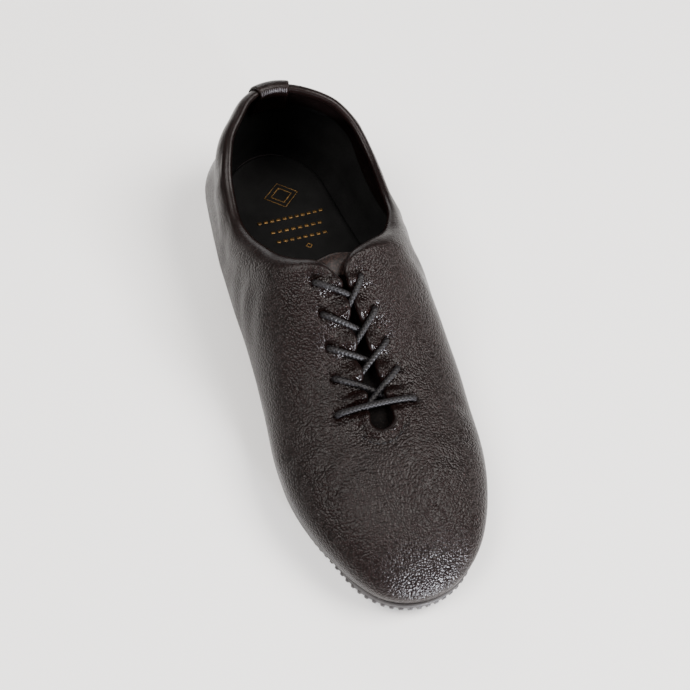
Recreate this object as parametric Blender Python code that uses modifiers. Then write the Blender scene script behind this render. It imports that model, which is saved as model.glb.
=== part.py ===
"""Split-sole lace-up jazz shoe for the left foot, UK adult size 4, standing empty and unbent.

+X is the outer side of the foot, -Y points to the toe and +Z up. The tread lies on Z = 0.
Every piece is worked out from one surface, the last: last_point gives its place for a share of the
length and a turn up the section, and the pieces lie on it, inside it or under it.
"""

import math

import bmesh
import bpy
import numpy as np
from mathutils import Matrix, Vector

# Driving dimensions, metres
LENGTH = 0.243
BALL_WIDTH = 0.0892
INSTEP_HEIGHT = 0.0715
WALL = 0.0018
GAP = 0.0003

# Rounding and shape of the last
HEEL_PLAN_ROUND = 0.030
TOE_PLAN_ROUND = 0.060
TOE_TOP_ROUND = 0.030
TOE_BLUNTNESS = 0.25
FEATHER_HEIGHT = 0.016
FEATHER_SHARE_MOST = 0.42
HEEL_TUCK = 0.008
HEEL_TUCK_REACH = 0.025
TOE_TUCK = 0.013
TOE_TUCK_REACH = 0.042
BACK_LEAN = 0.008
BACK_LEAN_FROM = 0.022
BACK_LEAN_TO = 0.068
BACK_LEAN_REACH = 0.060
ARCH_LIFT = 0.004
HEEL_FULL = 0.0050
HEEL_FULL_RISE = 0.020
HEEL_FULL_FROM = 0.016
HEEL_FULL_TO = 0.075
HEEL_FULL_FADE = 0.042
HEEL_SLIM = 0.0036
HEEL_SLIM_TO = 0.048
HEEL_SLIM_FADE = 0.034

# Sole
HEEL_LIFT = 0.0105
TREAD = 0.0045
TOE_SPRING = 0.0075
PAD_PROUD = 0.0010
PAD_EDGE_ROUND = 0.0008
PAD_SKIVE = 0.0006
FOREPAD_FROM = 0.575
FOREPAD_BULGE = 0.014
HEELPAD_TO = 0.285
HEELPAD_BULGE = 0.007
TOOTH_PITCH = 0.0035
TOOTH_GROOVE = 0.0015
TOOTH_DEPTH = 0.0010
TOOTH_HEIGHT = 0.0028
TOOTH_BELOW = 0.0005

# Openings in the upper
ROLL_RADIUS = 0.0026
EDGE_ROUND = 0.0009
SLIT_END = 0.7287
LASTING_MARGIN = 0.011
HEEL_WINDOW_SHORT = 0.045
FOREPAD_WINDOW_SHORT = 0.030
TOE_MARGIN_MORE = 1.4
HOLE_RADIUS = 0.0021

# Lace, tongue, insole and tab
LACE_RADIUS = 0.0014
LACE_RING_SPACING = 2.2
INSOLE_THICKNESS = 0.0020
TONGUE_THICKNESS = 0.0014
TONGUE_DROP = 0.0022
TONGUE_FROM = 0.425
TONGUE_TO = 0.770
TONGUE_HALF_TOP = 0.021
TONGUE_HALF_END = 0.013
TONGUE_TOP_ROUND = 0.024
TONGUE_END_ROUND = 0.020
TONGUE_SETTLE = 0.06
TAB_WIDTH = 0.0175
TAB_THICKNESS = 0.0014
TAB_OUTSIDE = 0.011
TAB_INSIDE = 0.020
TAB_EASE = 0.0006

# Sections of the last: share of LENGTH from the heel; centre line of the widest line and of the ridge
# as shares of BALL_WIDTH towards the inner side; half width as a share of BALL_WIDTH; ridge as a share
# of INSTEP_HEIGHT, open behind the throat; exponents of the section above and below its widest line; at
# the height of the instep, sway towards the outer side as a share of BALL_WIDTH
SECTION_COLUMNS = ("share", "centre", "crest", "half", "ridge", "crown", "turn", "sway")
SECTIONS = (
    (0.00, -0.018, -0.018, 0.290, 1.25, 2.60, 3.6, 0.010),
    (0.08, 0.004, 0.004, 0.366, 1.20, 2.60, 3.6, 0.030),
    (0.15, 0.008, 0.008, 0.396, 1.22, 2.60, 3.6, 0.055),
    (0.22, 0.004, 0.004, 0.424, 1.17, 2.50, 3.4, 0.080),
    (0.30, -0.010, 0.004, 0.458, 1.00, 2.35, 3.0, 0.070),
    (0.38, -0.025, 0.010, 0.482, 0.960, 2.25, 2.7, 0.020),
    (0.45, -0.033, 0.016, 0.491, 0.985, 2.15, 2.6, 0.000),
    (0.52, -0.034, 0.017, 0.494, 0.860, 2.05, 3.2, 0.000),
    (0.60, -0.025, 0.017, 0.500, 0.675, 2.00, 4.0, 0.000),
    (0.70, 0.004, 0.018, 0.500, 0.590, 2.00, 4.5, 0.000),
    (0.80, 0.013, 0.030, 0.479, 0.545, 2.05, 4.5, 0.000),
    (0.90, 0.015, 0.042, 0.451, 0.470, 2.10, 4.3, 0.000),
    (1.00, 0.036, 0.060, 0.452, 0.380, 2.10, 4.0, 0.000),
)

# Underside of the last: share of LENGTH; share of the heel lift; share of the arch lift; share of spring
UNDER_COLUMNS = ("share", "heel", "arch", "spring")
UNDER = (
    (0.00, 1.00, 0.0, 0.00),
    (0.22, 1.00, 0.1, 0.00),
    (0.32, 0.96, 0.7, 0.00),
    (0.42, 0.62, 1.0, 0.00),
    (0.52, 0.18, 0.6, 0.00),
    (0.60, 0.00, 0.1, 0.00),
    (0.74, 0.00, 0.0, 0.00),
    (0.88, 0.00, 0.0, 0.33),
    (1.00, 0.00, 0.0, 1.00),
)

# Collar from the back seam forward: share of LENGTH; height on each side as a share of INSTEP_HEIGHT
COLLAR_COLUMNS = ("share", "inner", "outer")
COLLAR = (
    (0.000, 0.978, 0.978),
    (0.035, 0.970, 0.950),
    (0.070, 0.948, 0.893),
    (0.110, 0.912, 0.830),
    (0.160, 0.858, 0.768),
    (0.220, 0.785, 0.728),
    (0.275, 0.750, 0.722),
    (0.325, 0.785, 0.755),
    (0.366, 0.850, 0.820),
    (0.402, 0.912, 0.893),
)

# Throat corners: share of LENGTH; distance from the ridge line on each side as a share of BALL_WIDTH
THROAT_COLUMNS = ("share", "inner", "outer")
THROAT = (
    (0.425, 0.165, 0.148),
    (0.443, 0.095, 0.075),
    (0.458, 0.056, 0.034),
    (0.473, 0.030, 0.018),
)

# Lace slit: share of LENGTH; distance from the ridge line on each side as a share of BALL_WIDTH
SLIT_COLUMNS = ("share", "inner", "outer")
SLIT = (
    (0.492, 0.013, 0.024),
    (0.530, 0.012, 0.038),
    (0.580, 0.016, 0.054),
    (0.630, 0.029, 0.063),
    (0.680, 0.044, 0.064),
    (0.708, 0.050, 0.062),
)

# Lace holes: share of LENGTH and distance from the ridge line as a share of BALL_WIDTH, on each side
HOLE_COLUMNS = ("inner_share", "inner", "outer_share", "outer")
HOLES = (
    (0.479, 0.134, 0.487, 0.090),
    (0.527, 0.133, 0.537, 0.121),
    (0.575, 0.139, 0.584, 0.143),
    (0.622, 0.151, 0.631, 0.160),
    (0.682, 0.192, 0.689, 0.193),
)

# Route of the lace from a hole to the middle: share of the way out to the hole; height over the upper as
# a share of the lace's radius and gap
LACE_ROUTE = (
    (1.00, -0.35),
    (1.00, 0.55),
    (0.88, 1.25),
    (0.70, 1.42),
    (0.46, 1.38),
    (0.24, 1.25),
    (0.00, 1.20),
)
LACE_DIP = 0.80

# Grid of the upper
COLLAR_STEPS = 17
SLIT_STEPS = 7
BEND_STEPS = 3
OPEN_STEPS = COLLAR_STEPS + SLIT_STEPS + BEND_STEPS
VAMP_STEPS = 10
EDGE_ROWS = (0.0, 0.0005, 0.0016, 0.0032, 0.0048, 0.0058, 0.0090)
WALL_ROWS = 5
SHORT_COLUMN = 0.024
# Turns of the rows below the widest line; the pads end at one of them and the insole at the next
LOWER_TURNS = (0.0, -10.0, -25.0, -40.0, -50.0, -62.0, -76.0, -90.0)
PAD_TURN = LOWER_TURNS[3]
INSOLE_TURN = LOWER_TURNS[4]


def column(table, names, name):
    """One named column of a table, as an array."""
    place = names.index(name)
    return np.array([row[place] for row in table])


def smooth(at, values, where):
    """Smooth curve through the values, read at the places asked for."""
    where = np.clip(np.asarray(where, float), at[0], at[-1])
    step = np.diff(at)
    slope = np.diff(values) / step
    tangent = np.empty(len(at))
    tangent[0], tangent[-1] = slope[0], slope[-1]
    tangent[1:-1] = (step[1:] * slope[:-1] + step[:-1] * slope[1:]) / (step[1:] + step[:-1])
    left = np.clip(np.searchsorted(at, where, side="right") - 1, 0, len(at) - 2)
    width = step[left]
    t = (where - at[left]) / width
    return (
        values[left] * (1 + 2 * t) * (1 - t) ** 2
        + tangent[left] * width * t * (1 - t) ** 2
        + values[left + 1] * t * t * (3 - 2 * t)
        + tangent[left + 1] * width * t * t * (t - 1)
    )


def section(name, share):
    shares = column(SECTIONS, SECTION_COLUMNS, "share")
    return smooth(shares, column(SECTIONS, SECTION_COLUMNS, name), share)


def under(name, share):
    shares = column(UNDER, UNDER_COLUMNS, "share")
    return np.clip(smooth(shares, column(UNDER, UNDER_COLUMNS, name), share), 0.0, None)


def round_end(distance, reach, power):
    """Rises from 0 at the end to 1 where the rounding stops."""
    left = np.clip(1 - np.asarray(distance) / reach, 0, 1)
    return (1 - left**power) ** (1 / power)


def fade(distance, reach):
    return np.clip(1 - np.asarray(distance) / reach, 0, 1)


def ease(value):
    """Smooth step from 0 to 1."""
    value = np.clip(value, 0, 1)
    return value * value * (3 - 2 * value)


def spring_height(share):
    """Height of the tread over the floor."""
    return TOE_SPRING * under("spring", share)


def last_point(share, turn, side):
    """Place on the last: share of the length, turn up the section in degrees, side +1 outer, -1 inner.

    The turn is negative below the widest line, down to -90 on the centre line of the underside, and
    rises to 90 on the ridge.
    """
    share, turn, side = np.broadcast_arrays(*[np.asarray(v, float) for v in (share, turn, side)])
    along = share * LENGTH
    half = half_width(share)
    low = TREAD + (HEEL_LIFT - TREAD) * under("heel", share) + spring_height(share)
    ridge = INSTEP_HEIGHT * section("ridge", share)
    blunt = TOE_BLUNTNESS + (1 - TOE_BLUNTNESS) * round_end(LENGTH - along, TOE_TOP_ROUND, 2.0)
    ridge = low + (ridge - low) * blunt
    widest = low + np.minimum(FEATHER_HEIGHT, FEATHER_SHARE_MOST * (ridge - low))

    rise = np.radians(np.clip(turn, 0, 90))
    drop = np.radians(np.clip(-turn, 0, 90))
    crown = 2 / section("crown", share)
    sole = 2 / section("turn", share)
    reach_up = np.clip(np.cos(rise), 0, 1) ** crown
    reach_down = np.clip(np.cos(drop), 0, 1) ** sole
    reach = np.where(turn >= 0, reach_up, reach_down)
    sunk = np.sin(drop) ** sole
    risen_up = widest + (ridge - widest) * np.sin(rise) ** crown
    height = np.where(turn >= 0, risen_up, widest - (widest - low) * sunk)

    inner = (1 - side * reach) / 2
    height = height + ARCH_LIFT * under("arch", share) * inner**1.5 * np.where(turn < 0, sunk, 0)
    risen = np.clip((height - widest) / (INSTEP_HEIGHT - FEATHER_HEIGHT), 0, 1)
    crest = np.sin(rise) ** 2
    centre = section("centre", share) * (1 - crest) + section("crest", share) * crest
    across = side * half * reach + BALL_WIDTH * (section("sway", share) * risen - centre)
    # above its widest line the heel is fuller on its outer side and slimmer at its inner back corner
    above = ease(share * LENGTH / HEEL_FULL_FROM) * ease((height - widest) / HEEL_FULL_RISE) * (turn > 0)
    full = HEEL_FULL * above * ease((HEEL_FULL_TO - share * LENGTH) / HEEL_FULL_FADE)
    slim = HEEL_SLIM * above * ease((HEEL_SLIM_TO - share * LENGTH) / HEEL_SLIM_FADE)
    across = across + np.where(side > 0, full, slim)

    lean = np.clip(height - BACK_LEAN_FROM, 0, None) / (BACK_LEAN_TO - BACK_LEAN_FROM)
    along = along + BACK_LEAN * lean**1.5 * fade(share * LENGTH, BACK_LEAN_REACH)
    tucked = np.where(turn < 0, 1 - reach_down, 0)
    along = along + HEEL_TUCK * tucked * fade(share * LENGTH, HEEL_TUCK_REACH) ** 2
    along = along - TOE_TUCK * tucked * fade((1 - share) * LENGTH, TOE_TUCK_REACH) ** 2
    return np.stack([across, LENGTH / 2 - along, height], -1)


def last_normal(share, turn, side):
    """Outward direction of the last's surface."""
    small, tilt = 0.002, 0.5
    share, turn, side = np.broadcast_arrays(*[np.asarray(v, float) for v in (share, turn, side)])
    ahead = last_point(np.clip(share + small, 0, 1), turn, side)
    behind = last_point(np.clip(share - small, 0, 1), turn, side)
    above = last_point(share, np.clip(turn + tilt, -90, 90), side)
    below = last_point(share, np.clip(turn - tilt, -90, 90), side)
    rising = above - below
    centred = np.stack([-np.sign(turn) * side, 0 * turn, 0 * turn], -1)
    rising = np.where(np.abs(turn)[..., None] >= 90, centred, rising)
    normal = np.cross(rising, ahead - behind) * side[..., None]
    return normal / np.linalg.norm(normal, axis=-1, keepdims=True)


def off_last(share, turn, side, out):
    """Place at a distance from the last, along its outward direction."""
    return last_point(share, turn, side) + last_normal(share, turn, side) * np.asarray(out)[..., None]


def half_width(share):
    """Half width of the last at its widest line."""
    along = np.asarray(share) * LENGTH
    ends = round_end(along, HEEL_PLAN_ROUND, 2.1) * round_end(LENGTH - along, TOE_PLAN_ROUND, 2.1)
    return BALL_WIDTH * section("half", share) * ends


def turn_for_reach(share, out):
    """Turn up the section at which the last is this far from its ridge line."""
    part = np.clip(np.asarray(out) / half_width(share), 0, 1)
    return np.degrees(np.arccos(part ** (section("crown", share) / 2)))


def turn_for_height(share, height, side):
    """Turn up the section at which the last has this height."""
    turns = np.linspace(0, 90, 400)
    return np.array([np.interp(z, last_point(s, turns, side)[:, 2], turns) for s, z in zip(share, height)])


def slit_outline(side):
    """Share and distance from the ridge line along one side of the lace slit, down to its round end."""
    shares = column(SLIT, SLIT_COLUMNS, "share")
    out = BALL_WIDTH * column(SLIT, SLIT_COLUMNS, "inner" if side < 0 else "outer")
    bend = np.radians(np.linspace(0, 90, 10))[1:]
    share = np.concatenate([shares, shares[-1] + np.sin(bend) * (SLIT_END - shares[-1])])
    return share, np.concatenate([out, np.cos(bend) * out[-1]])


def collar_turn(share, side):
    """Turn up the section at which the collar runs, behind the throat."""
    name = "inner" if side < 0 else "outer"
    height = smooth(column(COLLAR, COLLAR_COLUMNS, "share"), column(COLLAR, COLLAR_COLUMNS, name), share)
    return turn_for_height(np.atleast_1d(share), np.atleast_1d(height) * INSTEP_HEIGHT, side)


def top_edge(side):
    """Share and turn along the collar, the throat corner and the slit, finely spaced, with its parts."""
    collar = column(COLLAR, COLLAR_COLUMNS, "share")
    throat = column(THROAT, THROAT_COLUMNS, "share")
    out = BALL_WIDTH * column(THROAT, THROAT_COLUMNS, "inner" if side < 0 else "outer")
    share_slit, out_slit = slit_outline(side)
    share = np.concatenate([collar, throat, share_slit])
    turns = (collar_turn(collar, side), turn_for_reach(throat, out), turn_for_reach(share_slit, out_slit))
    turn = np.concatenate(turns)
    knots = last_point(share, turn, side)
    length = np.concatenate([[0], np.cumsum(np.linalg.norm(np.diff(knots, axis=0), axis=1))])
    fine = np.linspace(0, length[-1], 600)
    corner = length[len(COLLAR) + len(THROAT) - 1]
    bend = length[len(COLLAR) + len(THROAT) + len(SLIT) - 1]
    return smooth(length, share, fine), np.clip(smooth(length, turn, fine), 0, 90), fine, corner, bend


def upper_columns(side):
    """Share and turn at the top of each column of the upper on one side."""
    share, turn, fine, corner, bend = top_edge(side)
    stops = [
        np.linspace(0, corner, COLLAR_STEPS + 1),
        np.linspace(corner, bend, SLIT_STEPS + 1)[1:],
        np.linspace(bend, fine[-1], BEND_STEPS + 1)[1:],
    ]
    top_share = np.interp(np.concatenate(stops), fine, share)
    top_turn = np.interp(np.concatenate(stops), fine, turn)
    angle = np.linspace(math.acos(1 - 2 * top_share[-1]), math.pi, VAMP_STEPS + 1)[1:]
    top_share = np.concatenate([top_share, (1 - np.cos(angle)) / 2])
    top_turn = np.concatenate([top_turn, np.full(VAMP_STEPS, 90.0)])
    top_turn[OPEN_STEPS] = 90.0
    return top_share, top_turn


def bottom_shares():
    """Share of each column of the upper from its widest line down, the same on both sides."""
    angle = sum(np.arccos(1 - 2 * upper_columns(side)[0]) for side in (1, -1)) / 2
    for _ in range(30):
        angle[1:-1] = (angle[:-2] + 2 * angle[1:-1] + angle[2:]) / 4
    return (1 - np.cos(angle)) / 2


def edge_half_thickness(distance, roll):
    """Half of the wall near an edge: a round lip, or the folded collar roll."""
    lip = WALL / 2 * np.sqrt(1 - (1 - np.clip(distance / EDGE_ROUND, 0.06, 1)) ** 2)
    into = np.clip(distance, 0.15 * ROLL_RADIUS, 2 * ROLL_RADIUS) - ROLL_RADIUS
    fold = np.sqrt(np.clip(ROLL_RADIUS**2 - into**2, 0, None))
    return np.maximum(lip, roll * fold + (1 - roll) * lip)


def new_object(name, mesh, colour, roughness, collection):
    material = bpy.data.materials.new(name)
    material.use_nodes = True
    shader = material.node_tree.nodes["Principled BSDF"]
    shader.inputs["Base Color"].default_value = (*colour, 1.0)
    shader.inputs["Roughness"].default_value = roughness
    shader.inputs["Metallic"].default_value = 0.0
    mesh.materials.append(material)
    thing = bpy.data.objects.new(name, mesh)
    collection.objects.link(thing)
    return thing


def mesh_from(name, points, faces):
    mesh = bpy.data.meshes.new(name)
    mesh.from_pydata([tuple(p) for p in points], [], faces)
    body = bmesh.new()
    body.from_mesh(mesh)
    bmesh.ops.remove_doubles(body, verts=body.verts, dist=0.000002)
    bmesh.ops.dissolve_degenerate(body, edges=body.edges, dist=0.000002)
    body.to_mesh(mesh)
    body.free()
    mesh.shade_smooth()
    return mesh


def add_boolean(thing, cutter):
    cut = thing.modifiers.new(cutter.name, "BOOLEAN")
    cut.operation = "DIFFERENCE"
    cut.solver = "EXACT"
    cut.object = cutter


def add_cutter(name, mesh, cutters):
    cutter = bpy.data.objects.new(name, mesh)
    cutters.objects.link(cutter)
    cutter.hide_render = True
    cutter.display_type = "WIRE"
    return cutter


class Grid:
    """Points by named place, shared where two sides meet, and the faces between them."""

    def __init__(self):
        self.points = []
        self.extra = []
        self.faces = []
        self.index = {}

    def add(self, key, point, extra=0.0):
        if key not in self.index:
            self.index[key] = len(self.points)
            self.points.append(np.asarray(point, float))
            self.extra.append(extra)
        return self.index[key]

    def quad(self, *keys):
        loop = []
        for key in keys:
            place = self.index[key]
            if place not in loop:
                loop.append(place)
        if len(loop) > 2:
            self.faces.append(loop)


def upper_surface():
    """Middle surface of the upper's wall, from the top edge down to the centre line underneath."""
    grid = Grid()
    foot = bottom_shares()
    last = len(foot) - 1
    rolls = np.ones(last + 1)
    rolls[COLLAR_STEPS - 3 :] = np.clip(1 - np.arange(last + 4 - COLLAR_STEPS) / 4, 0, 1)
    rows = len(EDGE_ROWS) + WALL_ROWS + len(LOWER_TURNS) - 1
    for side in (1, -1):
        top_share, top_turn = upper_columns(side)
        keys = {}
        for k in range(last + 1):
            part = np.linspace(0, 1, 200)
            share = top_share[k] + (foot[k] - top_share[k]) * part * part * (3 - 2 * part)
            line = off_last(share, top_turn[k] * (1 - part), side, np.full(part.shape, -WALL / 2))
            length = np.concatenate([[0], np.cumsum(np.linalg.norm(np.diff(line, axis=0), axis=1))])
            near = np.array(EDGE_ROWS) * min(1.0, length[-1] / SHORT_COLUMN)
            down = np.concatenate([near, np.linspace(near[-1], length[-1], WALL_ROWS + 1)[1:]])
            points = [[np.interp(distance, length, line[:, axis]) for axis in range(3)] for distance in down]
            points += [off_last(foot[k], turn, side, np.array(-WALL / 2)) for turn in LOWER_TURNS[1:]]
            for j, point in enumerate(points):
                edge = j < len(down) and k <= OPEN_STEPS
                half = edge_half_thickness(down[j], rolls[k]) if edge else WALL / 2
                on_fold = j == rows - 1 or k in (0, last) or (j == 0 and k >= OPEN_STEPS)
                keys[(k, j)] = (0 if on_fold else side, k, j)
                grid.add(keys[(k, j)], point, half)
        for k in range(last):
            for j in range(rows - 1):
                loop = (keys[(k, j)], keys[(k + 1, j)], keys[(k + 1, j + 1)], keys[(k, j + 1)])
                grid.quad(*(loop if side < 0 else loop[::-1]))
    return grid


def build_upper(parts, cutters):
    grid = upper_surface()
    mesh = bpy.data.meshes.new("upper")
    mesh.from_pydata([tuple(p) for p in grid.points], [], grid.faces)
    mesh.shade_smooth()
    upper = new_object("upper", mesh, (0.045, 0.033, 0.030), 0.5, parts)
    thick = upper.vertex_groups.new(name="thickness")
    for place, half in enumerate(grid.extra):
        thick.add([place], min(1.0, half / ROLL_RADIUS), "REPLACE")
    shell = upper.modifiers.new("wall", "SOLIDIFY")
    shell.thickness = 2 * ROLL_RADIUS
    shell.offset = 0.0
    shell.vertex_group = "thickness"
    shell.thickness_vertex_group = 0.0
    for name, mesh in (("underfoot_cut", underfoot_mesh()), ("lace_holes", lace_hole_mesh())):
        add_boolean(upper, add_cutter(name, mesh, cutters))
    return upper


def prism(outline, low, high):
    """Upright block over a flat outline."""
    count = len(outline)
    points = [(x, y, low) for x, y in outline] + [(x, y, high) for x, y in outline]
    faces = [list(range(count))[::-1], list(range(count, 2 * count))]
    faces += [[i, (i + 1) % count, (i + 1) % count + count, i + count] for i in range(count)]
    return points, faces


def underfoot_outline(first, final, steps):
    """Outline inside the lasting margin, between two shares of the length."""
    angles = np.linspace(0, math.pi, steps)
    share = first + (final - first) * (1 - np.cos(angles)) / 2
    edge = {side: last_point(share, -20.0, side) for side in (1, -1)}
    middle = (edge[1] + edge[-1]) / 2
    half = (edge[1] - edge[-1])[:, 0] / 2 - LASTING_MARGIN
    ends = np.minimum(np.sin(angles) ** 0.8, 1.0)
    half = np.clip(half, 0, None) * ends
    right = [(middle[i, 0] + half[i], middle[i, 1]) for i in range(steps)]
    left = [(middle[i, 0] - half[i], middle[i, 1]) for i in range(1, steps - 1)]
    return right + left[::-1]


def underfoot_mesh():
    """Two blocks that open the upper underneath, over the heel and over the forefoot."""
    margin = LASTING_MARGIN / LENGTH
    points, faces = [], []
    heel = (margin, HEELPAD_TO - HEEL_WINDOW_SHORT)
    forefoot = (FOREPAD_FROM + FOREPAD_WINDOW_SHORT, 1 - margin * TOE_MARGIN_MORE)
    for first, final in (heel, forefoot):
        outline = underfoot_outline(first, final, 13)
        more, loops = prism(outline, -LASTING_MARGIN, HEEL_LIFT + FEATHER_HEIGHT / 2)
        faces += [[i + len(points) for i in loop] for loop in loops]
        points += more
    mesh = mesh_from("underfoot_cut", points, faces)
    return outward(mesh)


def outward(mesh):
    body = bmesh.new()
    body.from_mesh(mesh)
    bmesh.ops.recalc_face_normals(body, faces=body.faces)
    body.to_mesh(mesh)
    body.free()
    return mesh


def hole(row, side):
    """Share of the length of a lace hole and its distance from the ridge line."""
    name = "inner" if side < 0 else "outer"
    share = column(HOLES, HOLE_COLUMNS, name + "_share")[row]
    return share, BALL_WIDTH * column(HOLES, HOLE_COLUMNS, name)[row]


def hole_place(row, side, out=0.0):
    """Centre of a lace hole on the outside of the upper, with the outward direction there."""
    share, reach = hole(row, side)
    turn = turn_for_reach(np.array(share), np.array(reach))
    normal = last_normal(share, turn, side)
    return last_point(share, turn, side) + normal * out, normal


def lace_hole_mesh():
    body = bmesh.new()
    for row in range(len(HOLES)):
        for side in (1, -1):
            centre, normal = hole_place(row, side, -WALL / 2)
            turn = Vector(normal).to_track_quat("Z", "Y").to_matrix().to_4x4()
            bmesh.ops.create_cone(
                body,
                cap_ends=True,
                segments=12,
                radius1=HOLE_RADIUS,
                radius2=HOLE_RADIUS,
                depth=WALL * 3,
                matrix=Matrix.Translation(Vector(centre)) @ turn,
            )
    mesh = bpy.data.meshes.new("lace_holes")
    body.to_mesh(mesh)
    body.free()
    return mesh


def build_pad(name, heel, parts, cutters):
    """A rubber pad: its top lies under the upper, its side is an upright band, its tread is flat."""
    foot = bottom_shares()
    share = foot[foot < HEELPAD_TO][::-1] if heel else foot[foot > FOREPAD_FROM]
    bulge = (HEELPAD_BULGE if heel else -FOREPAD_BULGE) / LENGTH
    turns = [turn for turn in LOWER_TURNS[::-1] if turn <= PAD_TURN]
    steps, rows = len(share), len(turns)
    grid, rims = Grid(), {}
    for side in (1, -1):
        for k in range(steps):
            for j, turn in enumerate(turns):
                edge = j == rows - 1
                here = share[k] + (bulge * (1 - (j / (rows - 1)) ** 2) if k == 0 else 0)
                top = off_last(here, turn, side, np.array(GAP + (PAD_SKIVE if k == 0 else 0)))
                flat = last_normal(here, turn, side) * (1, 1, 0)
                proud = flat / max(np.linalg.norm(flat), 1e-9) * PAD_PROUD * edge
                key = (0 if j == 0 or k == steps - 1 else side, k, j)
                level = float(spring_height((LENGTH / 2 - top[1]) / LENGTH))
                grid.add(("top",) + key, top)
                grid.add(("base",) + key, (top[0], top[1], level))
                if edge or k == 0:
                    x, y, z = top + proud
                    grid.add(("upper",) + key, (x, y, z - PAD_EDGE_ROUND))
                    grid.add(("lower",) + key, (x, y, level + PAD_EDGE_ROUND))
                rims[(side, k, j)] = key
        for k in range(steps - 1):
            for j in range(rows - 1):
                loop = [rims[(side, *corner)] for corner in ((k, j), (k + 1, j), (k + 1, j + 1), (k, j + 1))]
                loop = loop if (side < 0) != heel else loop[::-1]
                grid.quad(*[("top",) + key for key in loop])
                grid.quad(*[("base",) + key for key in loop[::-1]])
    front = [rims[(1, 0, j)] for j in range(rows - 1)]
    wall = [rims[(1, k, rows - 1)] for k in range(steps)]
    wall += [rims[(-1, k, rows - 1)] for k in range(steps - 2, -1, -1)]
    edge = front + wall + [rims[(-1, 0, j)] for j in range(rows - 2, 0, -1)]
    for key, after in zip(edge, edge[1:] + edge[:1]):
        for high, low in (("top", "upper"), ("upper", "lower"), ("lower", "base")):
            grid.quad((high,) + key, (high,) + after, (low,) + after, (low,) + key)
    mesh = outward(mesh_from(name, grid.points, grid.faces))
    pad = new_object(name, mesh, (0.028, 0.024, 0.024), 0.55, parts)
    side_wall = np.array([grid.points[grid.index[("lower",) + key]] for key in wall])
    add_boolean(pad, add_cutter(name + "_teeth", teeth_mesh(name, side_wall), cutters))
    return pad


def teeth_mesh(name, wall):
    """Short upright grooves along the foot of a pad's side."""
    length = np.concatenate([[0], np.cumsum(np.linalg.norm(np.diff(wall, axis=0), axis=1))])
    count = int(length[-1] / TOOTH_PITCH)
    places = (np.arange(count) + 0.5) * length[-1] / count
    middle = wall.mean(axis=0)
    body = bmesh.new()
    for place in places:
        here = np.array([np.interp(place, length, wall[:, axis]) for axis in range(3)])
        ahead = np.array([np.interp(place + TOOTH_PITCH / 2, length, wall[:, axis]) for axis in range(3)])
        behind = np.array([np.interp(place - TOOTH_PITCH / 2, length, wall[:, axis]) for axis in range(3)])
        run = Vector(ahead - behind)
        run.z = 0
        run.normalize()
        out = Vector((run.y, -run.x, 0))
        if out.dot(Vector(here - middle)) < 0:
            out = -out
        box = Matrix((run, out, (0, 0, 1))).transposed().to_4x4()
        depth = TOOTH_DEPTH + 2 * TOOTH_PITCH / 3
        centre = Vector(here) + out * (depth / 2 - TOOTH_DEPTH)
        centre.z = here[2] - PAD_EDGE_ROUND + TOOTH_HEIGHT / 2 - TOOTH_BELOW
        size = Matrix.Diagonal((TOOTH_GROOVE, depth, TOOTH_HEIGHT + 2 * TOOTH_BELOW, 1))
        bmesh.ops.create_cube(body, size=1.0, matrix=Matrix.Translation(centre) @ box @ size)
    mesh = bpy.data.meshes.new(name + "_teeth")
    bmesh.ops.recalc_face_normals(body, faces=body.faces)
    body.to_mesh(mesh)
    body.free()
    return mesh


def add_wall(thing, thickness, outwards):
    shell = thing.modifiers.new("wall", "SOLIDIFY")
    shell.thickness = thickness
    shell.offset = 1.0 if outwards else -1.0
    return shell


def build_insole(parts):
    """Thin board that lies on the upper's lasted margin and, between the pads, on its arch."""
    share = bottom_shares()
    turns = [turn for turn in LOWER_TURNS[::-1] if turn <= INSOLE_TURN]
    steps = len(share)
    grid, keys = Grid(), {}
    for side in (1, -1):
        for k in range(steps):
            for j, turn in enumerate(turns):
                keys[(k, j)] = (0 if j == 0 or k in (0, steps - 1) else side, k, j)
                grid.add(keys[(k, j)], off_last(share[k], turn, side, np.array(-WALL - GAP)))
        for k in range(steps - 1):
            for j in range(len(turns) - 1):
                loop = [keys[corner] for corner in ((k, j), (k + 1, j), (k + 1, j + 1), (k, j + 1))]
                grid.quad(*(loop if side < 0 else loop[::-1]))
    mesh = mesh_from("insole", grid.points, grid.faces)
    insole = new_object("insole", mesh, (0.012, 0.012, 0.012), 0.9, parts)
    add_wall(insole, INSOLE_THICKNESS, False)
    return insole


def build_tongue(parts):
    """Thin leather tongue under the slit, with room for the lace over it."""
    steps, across = 12, 8
    points, faces = [], []
    for k in range(steps + 1):
        part = k / steps
        half = TONGUE_HALF_TOP + (TONGUE_HALF_END - TONGUE_HALF_TOP) * part**1.5
        for j in range(across + 1):
            where = 2 * j / across - 1
            side = 1 if where >= 0 else -1
            bow = (1 - math.sqrt(1 - 0.9 * where * where)) / LENGTH
            share = TONGUE_FROM + (TONGUE_TO - TONGUE_FROM) * part
            share += ((1 - part) * TONGUE_TOP_ROUND - part * TONGUE_END_ROUND) * bow
            turn = float(turn_for_reach(np.array(share), np.array(abs(where) * half)))
            settle = min(1.0, max(0.0, (TONGUE_TO - share) / TONGUE_SETTLE))
            drop = WALL + GAP + TONGUE_DROP * settle
            points.append(off_last(share, turn, side, np.array(-drop)))
    for k in range(steps):
        for j in range(across):
            a = k * (across + 1) + j
            faces.append([a, a + across + 1, a + across + 2, a + 1])
    mesh = mesh_from("tongue", points, faces)
    tongue = new_object("tongue", mesh, (0.040, 0.028, 0.024), 0.55, parts)
    add_wall(tongue, TONGUE_THICKNESS, False)
    return tongue


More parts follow.
